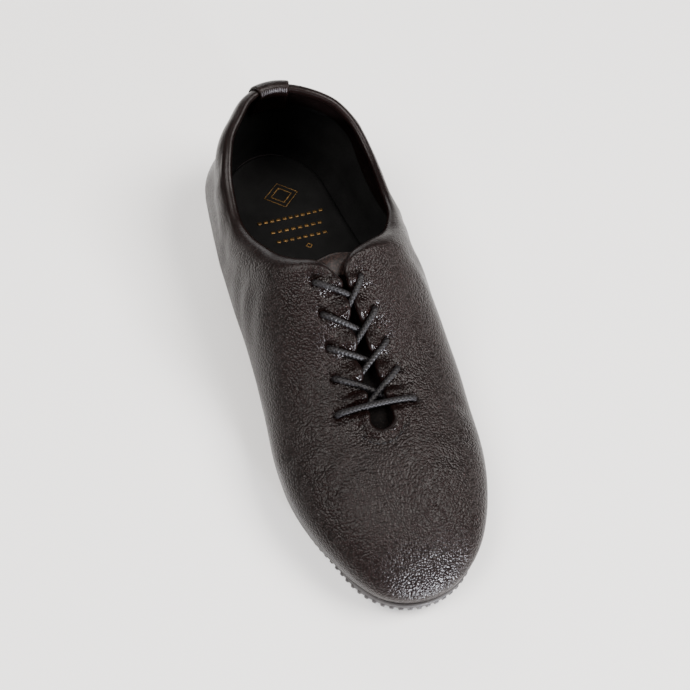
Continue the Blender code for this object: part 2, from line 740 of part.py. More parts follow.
def tab_profile():
    """Distance down from the collar's edge and distance from the wall's middle, over the roll."""
    clear = GAP + TAB_EASE + TAB_THICKNESS / 2
    radius = ROLL_RADIUS + clear
    rest = WALL / 2 + clear
    meet = math.sqrt(max(0.0, radius**2 - rest**2))
    path = [(TAB_OUTSIDE, rest)]
    first = math.atan2(rest, -meet)
    for step in range(9):
        angle = first * (1 - step / 4)
        path.append((ROLL_RADIUS - radius * math.cos(angle), radius * math.sin(angle)))
    path.append((TAB_INSIDE, -rest))
    return path


def build_pull_tab(parts):
    """Leather strip folded over the collar at the back of the heel."""
    across = 6
    points, faces = [], []
    profile = tab_profile()
    for i in range(across + 1):
        where = TAB_WIDTH * (i / across - 0.5)
        side = 1 if where >= 0 else -1
        share = heel_share(abs(where), side)
        turn = float(collar_turn(share, side)[0])
        out = last_normal(share, turn, side)
        if i == across // 2:
            out = out * (0, 1, 1) / np.linalg.norm(out[1:])
        turns = np.linspace(turn, 0, 200)
        line = off_last(share, turns, side, np.full(200, -WALL / 2))
        length = np.concatenate([[0], np.cumsum(np.linalg.norm(np.diff(line, axis=0), axis=1))])
        top = line[0]
        down = np.array([np.interp(2 * ROLL_RADIUS, length, line[:, axis]) for axis in range(3)]) - top
        down = down / np.linalg.norm(down)
        for distance, away in profile:
            wall = np.array([np.interp(distance, length, line[:, axis]) for axis in range(3)])
            if distance < 0:
                wall = top + down * distance
            points.append(wall + out * away)
    count = len(profile)
    for i in range(across):
        for j in range(count - 1):
            a = i * count + j
            faces.append([a, a + 1, a + count + 1, a + count])
    mesh = mesh_from("pull_tab", points, faces)
    tab = new_object("pull_tab", mesh, (0.045, 0.033, 0.030), 0.5, parts)
    shell = add_wall(tab, TAB_THICKNESS, False)
    shell.offset = 0.0
    return tab


def heel_share(where, side):
    """Share of the length at which the collar is this far from the back seam."""
    shares = np.linspace(0, 0.06, 200)
    line = last_point(shares, collar_turn(shares, side), side)
    return float(np.interp(where, side * (line[:, 0] - line[0, 0]), shares))


def lace_tube(name, points, parts):
    """Round cord along a smooth curve through the points."""
    points = np.array(points)
    length = np.concatenate([[0], np.cumsum(np.linalg.norm(np.diff(points, axis=0), axis=1))])
    count = max(8, int(length[-1] / (LACE_RADIUS * LACE_RING_SPACING)))
    fine = np.linspace(0, length[-1], count)
    route = np.stack([smooth(length, points[:, axis], fine) for axis in range(3)], -1)
    curve = bpy.data.curves.new(name, "CURVE")
    curve.dimensions = "3D"
    curve.bevel_depth = LACE_RADIUS
    curve.bevel_resolution = 2
    curve.use_fill_caps = True
    spline = curve.splines.new("POLY")
    spline.points.add(count - 1)
    for point, place in zip(spline.points, route):
        point.co = (*place, 1.0)
    return new_object(name, curve, (0.010, 0.009, 0.010), 0.8, parts)


def over_surface(share, out, clear):
    """Place above the upper at a signed distance from the ridge line."""
    side = 1 if out >= 0 else -1
    turn = float(turn_for_reach(np.array(share), np.array(abs(out))))
    return off_last(share, turn, side, np.array(clear))


def build_lace(parts):
    """A bar over the bottom pair of holes, and a crossing from each other pair down to the slit."""
    clear = LACE_RADIUS + GAP
    middles = (column(HOLES, HOLE_COLUMNS, "inner_share") + column(HOLES, HOLE_COLUMNS, "outer_share")) / 2
    for row, middle in enumerate(middles):
        bar = row == len(HOLES) - 1
        dip = 0.0 if bar else LACE_DIP * (middles[row + 1] - middle)
        halves = []
        for side in (-1, 1):
            share, reach = hole(row, side)
            halves.append([])
            for out, height in LACE_ROUTE:
                here = share * out + middle * (1 - out) + dip * (1 - out) ** 0.9
                halves[-1].append(over_surface(here, side * reach * out, clear * height))
        name = "lace_bar" if bar else f"lace_cross_{row + 1}"
        lace_tube(name, halves[0] + halves[1][-2::-1], parts)


def stand_on_origin(parts, cutters):
    """Moves every piece and cutter, so that the shoe's box stands on the origin."""
    bpy.context.view_layer.update()
    graph = bpy.context.evaluated_depsgraph_get()
    corners = []
    for thing in parts.objects:
        solid = thing.evaluated_get(graph)
        corners += [tuple(vertex.co) for vertex in solid.to_mesh().vertices]
        solid.to_mesh_clear()
    low, high = np.min(corners, axis=0), np.max(corners, axis=0)
    shift = Matrix.Translation((-(low[0] + high[0]) / 2, -(low[1] + high[1]) / 2, -low[2]))
    for thing in [*parts.objects, *cutters.objects]:
        thing.data.transform(shift)


def main():
    for thing in list(bpy.data.objects):
        bpy.data.objects.remove(thing)
    parts = bpy.data.collections.new("jazz_shoe")
    cutters = bpy.data.collections.new("cutters")
    for collection in (parts, cutters):
        bpy.context.scene.collection.children.link(collection)
    build_upper(parts, cutters)
    build_pad("outsole_forefoot", False, parts, cutters)
    build_pad("outsole_heel", True, parts, cutters)
    build_insole(parts)
    build_tongue(parts)
    build_pull_tab(parts)
    build_lace(parts)
    stand_on_origin(parts, cutters)


main()
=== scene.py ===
import math

import bmesh
import bpy
import numpy as np
from bpy.props import FloatProperty, FloatVectorProperty, PointerProperty
from mathutils import Matrix, Vector, noise


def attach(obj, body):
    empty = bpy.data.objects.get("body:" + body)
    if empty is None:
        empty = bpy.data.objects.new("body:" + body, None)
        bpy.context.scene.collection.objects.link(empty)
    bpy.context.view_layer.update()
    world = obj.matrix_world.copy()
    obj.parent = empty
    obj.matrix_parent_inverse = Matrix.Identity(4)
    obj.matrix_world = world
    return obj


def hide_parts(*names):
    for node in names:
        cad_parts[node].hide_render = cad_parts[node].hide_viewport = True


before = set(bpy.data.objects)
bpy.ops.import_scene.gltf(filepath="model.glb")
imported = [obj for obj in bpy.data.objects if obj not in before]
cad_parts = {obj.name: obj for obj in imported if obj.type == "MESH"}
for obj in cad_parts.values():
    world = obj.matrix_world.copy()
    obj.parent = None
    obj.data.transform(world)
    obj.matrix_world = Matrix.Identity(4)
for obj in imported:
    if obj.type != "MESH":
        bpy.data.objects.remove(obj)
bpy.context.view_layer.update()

bl_info = {
    "name": "Jazz shoe",
    "version": (1, 0, 0),
    "blender": (4, 5, 0),
    "location": "3D View > Sidebar > Shoe",
    "description": "Builds a left lace-up jazz shoe with its leather, lace, sock and split rubber sole",
    "category": "Object",
}

# The last's own origin is moved by this much, so that the shoe's box stands on the origin, metres
STAND = np.array((-0.0010638, -0.0000847, 0.0))

# Shape of the last, metres
HEEL_PLAN_ROUND = 0.030
TOE_PLAN_ROUND = 0.060
TOE_TOP_ROUND = 0.030
TOE_BLUNTNESS = 0.25
FEATHER_HEIGHT = 0.016
FEATHER_SHARE_MOST = 0.42
HEEL_TUCK = 0.008
HEEL_TUCK_REACH = 0.025
TOE_TUCK = 0.013
TOE_TUCK_REACH = 0.042
BACK_LEAN = 0.008
BACK_LEAN_FROM = 0.022
BACK_LEAN_TO = 0.068
BACK_LEAN_REACH = 0.060
ARCH_LIFT = 0.004
HEEL_FULL = 0.0050
HEEL_FULL_RISE = 0.020
HEEL_FULL_FROM = 0.016
HEEL_FULL_TO = 0.075
HEEL_FULL_FADE = 0.042
HEEL_SLIM = 0.0036
HEEL_SLIM_TO = 0.048
HEEL_SLIM_FADE = 0.034
HEEL_LIFT = 0.0105
TREAD = 0.0045
TOE_SPRING = 0.0075

# Sections of the last: share of the length from the heel; centre line of the widest line and of the ridge
# as shares of the ball width towards the inner side; half width as a share of the ball width; ridge as a
# share of the instep height; exponents of the section above and below its widest line; at the height of
# the instep, sway towards the outer side as a share of the ball width
SECTION_COLUMNS = ("share", "centre", "crest", "half", "ridge", "crown", "turn", "sway")
SECTIONS = (
    (0.00, -0.018, -0.018, 0.290, 1.25, 2.60, 3.6, 0.010),
    (0.08, 0.004, 0.004, 0.366, 1.20, 2.60, 3.6, 0.030),
    (0.15, 0.008, 0.008, 0.396, 1.22, 2.60, 3.6, 0.055),
    (0.22, 0.004, 0.004, 0.424, 1.17, 2.50, 3.4, 0.080),
    (0.30, -0.010, 0.004, 0.458, 1.00, 2.35, 3.0, 0.070),
    (0.38, -0.025, 0.010, 0.482, 0.960, 2.25, 2.7, 0.020),
    (0.45, -0.033, 0.016, 0.491, 0.985, 2.15, 2.6, 0.000),
    (0.52, -0.034, 0.017, 0.494, 0.860, 2.05, 3.2, 0.000),
    (0.60, -0.025, 0.017, 0.500, 0.675, 2.00, 4.0, 0.000),
    (0.70, 0.004, 0.018, 0.500, 0.590, 2.00, 4.5, 0.000),
    (0.80, 0.013, 0.030, 0.479, 0.545, 2.05, 4.5, 0.000),
    (0.90, 0.015, 0.042, 0.451, 0.470, 2.10, 4.3, 0.000),
    (1.00, 0.036, 0.060, 0.452, 0.380, 2.10, 4.0, 0.000),
)

# Underside of the last: share of the length; share of the heel lift, of the arch lift and of the spring
UNDER_COLUMNS = ("share", "heel", "arch", "spring")
UNDER = (
    (0.00, 1.00, 0.0, 0.00),
    (0.22, 1.00, 0.1, 0.00),
    (0.32, 0.96, 0.7, 0.00),
    (0.42, 0.62, 1.0, 0.00),
    (0.52, 0.18, 0.6, 0.00),
    (0.60, 0.00, 0.1, 0.00),
    (0.74, 0.00, 0.0, 0.00),
    (0.88, 0.00, 0.0, 0.33),
    (1.00, 0.00, 0.0, 1.00),
)

# Top of the collar from the back seam forward: share of the length; height on each side as a share of the
# instep height
COLLAR_COLUMNS = ("share", "inner", "outer")
COLLAR = (
    (0.000, 0.978, 0.978),
    (0.035, 0.970, 0.950),
    (0.070, 0.948, 0.893),
    (0.110, 0.912, 0.830),
    (0.160, 0.858, 0.768),
    (0.220, 0.785, 0.728),
    (0.275, 0.750, 0.722),
    (0.325, 0.785, 0.755),
    (0.366, 0.850, 0.820),
    (0.402, 0.912, 0.893),
)

# Throat corners: share of the length; distance from the ridge line as a share of the ball width
THROAT_COLUMNS = ("share", "inner", "outer")
THROAT = (
    (0.425, 0.165, 0.148),
    (0.443, 0.095, 0.075),
    (0.458, 0.056, 0.034),
    (0.473, 0.030, 0.018),
)

# Lace slit: share of the length; distance from the ridge line on each side as a share of the ball width
SLIT_COLUMNS = ("share", "inner", "outer")
SLIT = (
    (0.492, 0.013, 0.024),
    (0.530, 0.012, 0.038),
    (0.580, 0.016, 0.054),
    (0.630, 0.029, 0.063),
    (0.680, 0.044, 0.064),
    (0.708, 0.050, 0.062),
)
SLIT_END = 0.7287

# Lace holes: share of the length and distance from the ridge line as a share of the ball width
HOLE_COLUMNS = ("inner_share", "inner", "outer_share", "outer")
HOLES = (
    (0.479, 0.134, 0.487, 0.090),
    (0.527, 0.133, 0.537, 0.121),
    (0.575, 0.139, 0.584, 0.143),
    (0.622, 0.151, 0.631, 0.160),
    (0.682, 0.192, 0.689, 0.193),
)

# Where each half of a crossing ends in the slit: share of the length and distance from the ridge line,
# metres towards the outer side, for the half from the inner hole and for the half from the outer hole
CROSSING_ENDS = (
    (0.513, 0.0021, 0.5217, 0.0010),
    (0.5616, 0.0018, 0.5783, -0.0005),
    (0.6069, 0.0022, 0.6249, -0.0012),
    (0.6628, 0.0020, 0.6790, -0.0024),
)

# Mesh density
COLLAR_COUNT = 104
SLIT_COUNT = 112
BEND_COUNT = 20
VAMP_COUNT = 56
OPEN_COUNT = COLLAR_COUNT + SLIT_COUNT + BEND_COUNT
NEAR_ROWS = 26
NEAR_REACH = 0.022
FAR_ROWS = 22
LOWER_ROWS = 16
BAND_ROWS = 21

# Turns up the section, degrees, at which the pads and the sock end
PAD_TURN = -40.0
SOCK_TURN = -50.0

# Clearance between two pieces, metres
GAP = 0.0003

# Folded edge of the upper and its lining, metres: the collar's fold fades into the slit's edge from this
# share of the way to the throat's corner; the strip of lining leather under the collar and its step
FOLD_UNTIL = 0.88
FOLD_FADE = 0.022
SLIT_FADE = 0.0045
FOLD_SEAM = 0.00045
LINING_STRIP = 0.0125
LINING_STEP = 0.00035
FOLD_LEATHER = 0.88

# Shape of the folded edge in shares of its radius: height and width of its outer curve, radius of its
# inner bend, how far its middle is set in; then how far down the wall it fades, metres
FOLD_HEIGHT = 2.7
FOLD_SUNK = 1.7
FOLD_OUTER = 1.4
FOLD_INNER = 0.6
FOLD_SET_IN = 0.4
FOLD_FALL = 0.013
# Shares of the way over the fold at which its outer curve and its inner bend end
OUTER_UNTIL = 0.58
INNER_UNTIL = 0.88

# Relief of the leather, metres
UNEVEN_HEIGHT = 0.00022
UNEVEN_SIZE = 0.014
SCALLOP = 0.0013
PUFF_HEIGHT = 0.0021
PRESS_DEPTH = 0.0012
PUFF_REACH = 0.0068
GATHER_PITCH = 0.0029
GATHER_HEIGHT = 0.00016
RIM_HEIGHT = 0.00075
RIM_RING = 0.00035
HOLE_CRATER = (0.0017, 0.0019)
HOLE_DISH = (0.0006, 0.0044)
STITCH_DIP = (0.00048, 0.0013)

# Stitches round the closed end of the slit: share of the length of their centre, radius and angle
STITCH_SHARE = 0.708
STITCH_REACH = 0.0112
STITCH_ANGLE = 62

# Sole: where each pad ends as a share of the length, and how far that end bows out, metres
FOREPAD_FROM = 0.575
FOREPAD_BULGE = 0.014
HEELPAD_TO = 0.285
HEELPAD_BULGE = 0.007
PAD_PROUD = 0.0003
TOE_PROUD = 0.0018
HEEL_PROUD = 0.0010
TOOTH_DEPTH = 0.0008
RIB_PITCH = 0.0016

# Sock, tongue and pull tab, metres; the tongue's ends are shares of the length
SOCK_THICKNESS = 0.0020
SOCK_STEPS = 150
SOCK_ROWS = 20
TONGUE_THICKNESS = 0.0014
TONGUE_DROP = 0.0022
TONGUE_FROM = 0.425
TONGUE_TO = 0.770
TONGUE_HALF_TOP = 0.021
TONGUE_HALF_END = 0.013
TONGUE_TOP_ROUND = 0.024
TONGUE_END_ROUND = 0.020
TONGUE_SETTLE = 0.06
# from this share on, the tongue lies under the slit and its skin is darkened as painted shade
TONGUE_SHADE_FROM = 0.478
TAB_HALF = 0.0087
TAB_THICKNESS = 0.0012
TAB_CLEAR = 0.00035
TAB_OUTSIDE = 0.0090
TAB_INSIDE = 0.0165

# Foil marks on the sock: share of the length and both ends of each row of dashes, metres to the outer side
DASH_ROWS = (
    (0.1845, -0.0130, 0.0220),
    (0.2130, -0.0085, 0.0190),
    (0.2385, -0.0078, 0.0192),
)
DASH_PITCH = 0.0031
DASH_LENGTH = 0.0021
DASH_HALF_HEIGHT = 0.0008
# Share of the length and distance to the outer side of each lozenge's middle, and its two half sizes
LOZENGES = (
    (0.126, 0.0038, 0.0078, 0.0072),
    (0.126, 0.0038, 0.0050, 0.0042),
    (0.262, 0.0063, 0.0017, 0.0009),
)
LOZENGE_WIDTH = 1.15

# Braid of the lace: length of one turn of a strand, metres
BRAID_TURN = 0.0068


def linear(code):
    """Linear colour of an sRGB hex value."""
    values = [int(code[i : i + 2], 16) / 255 for i in (1, 3, 5)]
    return tuple(v / 12.92 if v <= 0.04045 else ((v + 0.055) / 1.055) ** 2.4 for v in values)


class ShoeSizes(bpy.types.PropertyGroup):
    """Sizes that a shoemaker would change."""

    length: FloatProperty(name="Length", description="Length of the upper", default=0.243, unit="LENGTH")
    ball_width: FloatProperty(
        name="Ball width", description="Width of the last across the ball", default=0.0892, unit="LENGTH"
    )
    instep_height: FloatProperty(
        name="Instep height",
        description="Height of the instep over the floor",
        default=0.0715,
        unit="LENGTH",
    )
    wall: FloatProperty(
        name="Wall", description="Leather and lining together", default=0.0018, unit="LENGTH"
    )
    collar_roll: FloatProperty(
        name="Collar roll", description="Radius of the folded collar", default=0.0026, unit="LENGTH"
    )
    slit_roll: FloatProperty(
        name="Slit roll",
        description="Radius of the folded edge along the laces",
        default=0.0016,
        unit="LENGTH",
    )
    lace_radius: FloatProperty(
        name="Lace radius", description="Half the thickness of the cord", default=0.00130, unit="LENGTH"
    )
    tooth_pitch: FloatProperty(
        name="Tooth pitch",
        description="Spacing of the teeth along the sole's edge",
        default=0.0035,
        unit="LENGTH",
    )
    pebble: FloatProperty(
        name="Pebble",
        description="Size of one pebble of the leather's grain",
        default=0.00090,
        unit="LENGTH",
    )


class ShoeColours(bpy.types.PropertyGroup):
    """Colours of the shoe's finishes."""

    leather: FloatVectorProperty(
        name="Leather", description="Tops of the grain", subtype="COLOR", default=linear("#170c0b")
    )
    # colour between the pebbles: painted shade for the creases
    leather_crease_shade: FloatVectorProperty(
        name="Leather creases",
        description="Between the pebbles",
        subtype="COLOR",
        default=linear("#0c0605"),
    )
    # near black: the cloth's own black, darkened further as painted shade for the inside of the shoe
    lining: FloatVectorProperty(
        name="Lining", description="Brushed lining and sock", subtype="COLOR", default=linear("#030303")
    )
    tongue: FloatVectorProperty(
        name="Tongue", description="Thin skin of the tongue", subtype="COLOR", default=linear("#2c1f1b")
    )
    lace: FloatVectorProperty(
        name="Lace", description="Braided cord", subtype="COLOR", default=linear("#080708")
    )
    rubber: FloatVectorProperty(
        name="Rubber", description="Sole pads", subtype="COLOR", default=linear("#1a1616")
    )
    foil: FloatVectorProperty(
        name="Foil", description="Rules stamped on the sock", subtype="COLOR", default=linear("#6b5028")
    )


def sizes():
    """The shoe's sizes, from the panel."""
    return bpy.context.scene.shoe_sizes


def colours():
    """The shoe's colours, from the panel."""
    return bpy.context.scene.shoe_colours


def column(table, names, name):
    """One named column of a table, as an array."""
    place = names.index(name)
    return np.array([row[place] for row in table])


def smooth(at, values, where):
    """Smooth curve through the values, read at the places asked for."""
    where = np.clip(np.asarray(where, float), at[0], at[-1])
    step = np.diff(at)
    slope = np.diff(values) / step
    tangent = np.empty(len(at))
    tangent[0], tangent[-1] = slope[0], slope[-1]
    tangent[1:-1] = (step[1:] * slope[:-1] + step[:-1] * slope[1:]) / (step[1:] + step[:-1])
    left = np.clip(np.searchsorted(at, where, side="right") - 1, 0, len(at) - 2)
    width = step[left]
    t = (where - at[left]) / width
    return (
        values[left] * (1 + 2 * t) * (1 - t) ** 2
        + tangent[left] * width * t * (1 - t) ** 2
        + values[left + 1] * t * t * (3 - 2 * t)
        + tangent[left + 1] * width * t * t * (t - 1)
    )


def section(name, share):
    """One column of the sections, read at a share of the length."""
    shares = column(SECTIONS, SECTION_COLUMNS, "share")
    return smooth(shares, column(SECTIONS, SECTION_COLUMNS, name), share)


def under(name, share):
    """One column of the underside, read at a share of the length."""
    shares = column(UNDER, UNDER_COLUMNS, "share")
    return np.clip(smooth(shares, column(UNDER, UNDER_COLUMNS, name), share), 0.0, None)


def round_end(distance, reach, power):
    """Rises from 0 at the end to 1 where the rounding stops."""
    left = np.clip(1 - np.asarray(distance) / reach, 0, 1)
    return (1 - left**power) ** (1 / power)


def fade(distance, reach):
    """Falls from 1 at the end to 0 at the reach."""
    return np.clip(1 - np.asarray(distance) / reach, 0, 1)


def ease(value):
    """Smooth step from 0 to 1."""
    value = np.clip(value, 0, 1)
    return value * value * (3 - 2 * value)


def cosine_fall(value):
    """Falls from 1 at 0 to 0 at 1, level at both ends."""
    return 0.5 + 0.5 * np.cos(np.pi * np.clip(value, 0, 1))


def half_width(share):
    """Half width of the last at its widest line."""
    length = sizes().length
    along = np.asarray(share) * length
    ends = round_end(along, HEEL_PLAN_ROUND, 2.1) * round_end(length - along, TOE_PLAN_ROUND, 2.1)
    return sizes().ball_width * section("half", share) * ends


def last_point(share, turn, side):
    """Place on the last: share of the length, turn up the section in degrees, side +1 outer, -1 inner."""
    share, turn, side = np.broadcast_arrays(*[np.asarray(v, float) for v in (share, turn, side)])
    length, ball, instep = sizes().length, sizes().ball_width, sizes().instep_height
    along = share * length
    half = half_width(share)
    low = TREAD + (HEEL_LIFT - TREAD) * under("heel", share) + TOE_SPRING * under("spring", share)
    ridge = instep * section("ridge", share)
    blunt = TOE_BLUNTNESS + (1 - TOE_BLUNTNESS) * round_end(length - along, TOE_TOP_ROUND, 2.0)
    ridge = low + (ridge - low) * blunt
    widest = low + np.minimum(FEATHER_HEIGHT, FEATHER_SHARE_MOST * (ridge - low))

    rise = np.radians(np.clip(turn, 0, 90))
    drop = np.radians(np.clip(-turn, 0, 90))
    crown = 2 / section("crown", share)
    sole = 2 / section("turn", share)
    reach_up = np.clip(np.cos(rise), 0, 1) ** crown
    reach_down = np.clip(np.cos(drop), 0, 1) ** sole
    reach = np.where(turn >= 0, reach_up, reach_down)
    sunk = np.sin(drop) ** sole
    over = widest + (ridge - widest) * np.sin(rise) ** crown
    height = np.where(turn >= 0, over, widest - (widest - low) * sunk)

    inner = (1 - side * reach) / 2
    height = height + ARCH_LIFT * under("arch", share) * inner**1.5 * np.where(turn < 0, sunk, 0)
    risen = np.clip((height - widest) / (instep - FEATHER_HEIGHT), 0, 1)
    crest = np.sin(rise) ** 2
    centre = section("centre", share) * (1 - crest) + section("crest", share) * crest
    across = side * half * reach + ball * (section("sway", share) * risen - centre)
    # above its widest line the heel is fuller on its outer side and slimmer at its inner back corner
    above = ease(share * length / HEEL_FULL_FROM) * ease((height - widest) / HEEL_FULL_RISE) * (turn > 0)
    full = HEEL_FULL * above * ease((HEEL_FULL_TO - share * length) / HEEL_FULL_FADE)
    slim = HEEL_SLIM * above * ease((HEEL_SLIM_TO - share * length) / HEEL_SLIM_FADE)
    across = across + np.where(side > 0, full, slim)

    lean = np.clip(height - BACK_LEAN_FROM, 0, None) / (BACK_LEAN_TO - BACK_LEAN_FROM)
    tucked = np.where(turn < 0, 1 - reach_down, 0)
    along = along + BACK_LEAN * lean**1.5 * fade(share * length, BACK_LEAN_REACH)
    along = along + HEEL_TUCK * tucked * fade(share * length, HEEL_TUCK_REACH) ** 2
    along = along - TOE_TUCK * tucked * fade((1 - share) * length, TOE_TUCK_REACH) ** 2
    return np.stack([across, length / 2 - along, height], -1) + STAND


def last_normal(share, turn, side):
    """Outward direction of the last's surface."""
    small, tilt = 0.002, 0.5
    share, turn, side = np.broadcast_arrays(*[np.asarray(v, float) for v in (share, turn, side)])
    ahead = last_point(np.clip(share + small, 0, 1), turn, side)
    behind = last_point(np.clip(share - small, 0, 1), turn, side)
    rising = last_point(share, np.clip(turn + tilt, -90, 90), side) - last_point(
        share, np.clip(turn - tilt, -90, 90), side
    )
    level = np.stack([-np.sign(turn) * side, 0 * turn, 0 * turn], -1)
    rising = np.where(np.abs(turn)[..., None] >= 90, level, rising)
    normal = np.cross(rising, ahead - behind) * side[..., None]
    return normal / np.linalg.norm(normal, axis=-1, keepdims=True)


def off_last(share, turn, side, out):
    """Place at a distance from the last, along its outward direction."""
    return last_point(share, turn, side) + last_normal(share, turn, side) * np.asarray(out)[..., None]


def turn_for_reach(share, out):
    """Turn up the section at which the last is this far from its ridge line."""
    part = np.clip(np.asarray(out) / half_width(share), 0, 1)
    return np.degrees(np.arccos(part ** (section("crown", share) / 2)))


def reach_of(share, turn):
    """Distance from the ridge line at this turn up the section."""
    rise = np.radians(np.clip(turn, 0, 90))
    return half_width(share) * np.clip(np.cos(rise), 0, 1) ** (2 / section("crown", share))


def turn_for_height(share, height, side):
    """Turn up the section at which the last has this height."""
    turns = np.linspace(0, 90, 400)
    heights = [last_point(here, turns, side)[:, 2] for here in share]
    return np.array([np.interp(z, rising, turns) for z, rising in zip(height, heights)])


def over_ridge(share, out, lift):
    """Place over the last at a signed distance from the ridge line, positive towards the outer side."""
    side = 1 if out >= 0 else -1
    turn = float(turn_for_reach(np.array(share), np.array(abs(out))))
    return off_last(share, turn, side, np.array(lift))


def arc_length(points):
    """Length along a chain of points, from its first to each."""
    return np.concatenate([[0], np.cumsum(np.linalg.norm(np.diff(points, axis=0), axis=1))])


def hole(row, side):
    """Share of the length of a lace hole and its distance from the ridge line."""
    name = "inner" if side < 0 else "outer"
    share = column(HOLES, HOLE_COLUMNS, name + "_share")[row]
    return share, sizes().ball_width * column(HOLES, HOLE_COLUMNS, name)[row]


def press_shares(side):
    """Share of the length at which each turn of the lace presses on the facing's edge."""
    shares = np.array([hole(row, side)[0] for row in range(len(HOLES))])
    ends = np.array([row[0 if side < 0 else 2] for row in CROSSING_ENDS])
    # a crossing reaches the edge at this share of the way from its hole to its end in the slit
    reached = 0.72 if side < 0 else 0.55
    shares[: len(ends)] += (ends - shares[: len(ends)]) * reached
    return shares


def puff(share, side):
    """1 halfway between two turns of the lace, 0 under each turn and beyond the last ones."""
    shares = press_shares(side)
    knots = np.concatenate([[shares[0] - 0.036], shares, [shares[-1] + 0.055]])
    place = np.clip(np.interp(share, knots, np.arange(len(knots))), 0, len(knots) - 1)
    return np.sin(np.pi * place) ** 2


def edge_curve(side):
    """Share and turn along the foot of the folded edge, and the lengths at which it changes."""
    ball, instep = sizes().ball_width, sizes().instep_height
    roll, lip = sizes().collar_roll, sizes().slit_roll
    name = "inner" if side < 0 else "outer"
    collar = column(COLLAR, COLLAR_COLUMNS, "share")
    height = column(COLLAR, COLLAR_COLUMNS, name) * instep - roll
    below = np.linspace(roll, 0.4 * roll, len(THROAT)) / sizes().length
    throat = column(THROAT, THROAT_COLUMNS, "share") + below
    out_throat = ball * column(THROAT, THROAT_COLUMNS, name) + np.linspace(0.9 * roll, lip, len(THROAT))
    slit = column(SLIT, SLIT_COLUMNS, "share")
    out_slit = ball * column(SLIT, SLIT_COLUMNS, name) + lip
    bend = np.radians(np.linspace(0, 90, 10))[1:]
    final = SLIT_END + lip / sizes().length
    share_bend = slit[-1] + np.sin(bend) * (final - slit[-1])
    share = np.concatenate([collar, throat, slit, share_bend])
    turn = np.concatenate(
        [
            turn_for_height(collar, height, side),
            turn_for_reach(throat, out_throat),
            turn_for_reach(slit, out_slit),
            turn_for_reach(share_bend, np.cos(bend) * out_slit[-1]),
        ]
    )
    length = arc_length(last_point(share, turn, side))
    fine = np.linspace(0, length[-1], 1500)
    corner = length[len(COLLAR) + len(THROAT) - 1]
    start = length[len(COLLAR) + len(THROAT) + len(SLIT) - 1]
    share, turn = smooth(length, share, fine), np.clip(smooth(length, turn, fine), 0, 90)
    # the edge bows into the slit between two turns of the lace
    scallop = SCALLOP * puff(share, side) * ease((fine - corner) / 0.006) * ease((start - fine) / 0.004)
    bowed = turn_for_reach(share, np.maximum(reach_of(share, turn) - scallop, 0.0004))
    turn = np.where(scallop > 0, bowed, turn)
    return share, turn, fine, corner, start


def edge_columns(side):
    """Share and turn at the top of each column of the upper on one side."""
    share, turn, fine, corner, start = edge_curve(side)
    stops = np.concatenate(
        [
            np.linspace(0, corner, COLLAR_COUNT + 1),
            np.linspace(corner, start, SLIT_COUNT + 1)[1:],
            np.linspace(start, fine[-1], BEND_COUNT + 1)[1:],
        ]
    )
    top_share, top_turn = np.interp(stops, fine, share), np.interp(stops, fine, turn)
    angle = np.linspace(math.acos(1 - 2 * top_share[-1]), math.pi, VAMP_COUNT + 1)[1:]
    top_share = np.concatenate([top_share, (1 - np.cos(angle)) / 2])
    top_turn = np.concatenate([top_turn, np.full(VAMP_COUNT, 90.0)])
    top_turn[OPEN_COUNT] = 90.0
    return top_share, top_turn, corner


def foot_shares(top_shares):
    """Share of each column at the widest line and below it, the same on both sides."""
    angle = sum(np.arccos(1 - 2 * share) for share in top_shares) / 2
    for _ in range(900):
        angle[1:-1] = (angle[:-2] + 2 * angle[1:-1] + angle[2:]) / 4
    return (1 - np.cos(angle)) / 2


def near_lines(points, line, reach):
    """Distance from each point to a chain of points, and the share along it; 1 m for far points."""
    flat = points.reshape(-1, 3)
    best = np.full(len(flat), 1.0)
    along = np.zeros(len(flat))
    low, high = line.min(axis=0) - reach, line.max(axis=0) + reach
    near = np.flatnonzero(np.all((flat > low) & (flat < high), axis=1))
    for i in range(len(line) - 1):
        step = line[i + 1] - line[i]
        rel = flat[near] - line[i]
        t = np.clip(rel @ step / (step @ step), 0, 1)
        gap = np.linalg.norm(rel - t[:, None] * step, axis=1)
        closer = gap < best[near]
        best[near[closer]] = gap[closer]
        along[near[closer]] = (i + t[closer]) / (len(line) - 1)
    return best.reshape(points.shape[:-1]), along.reshape(points.shape[:-1])


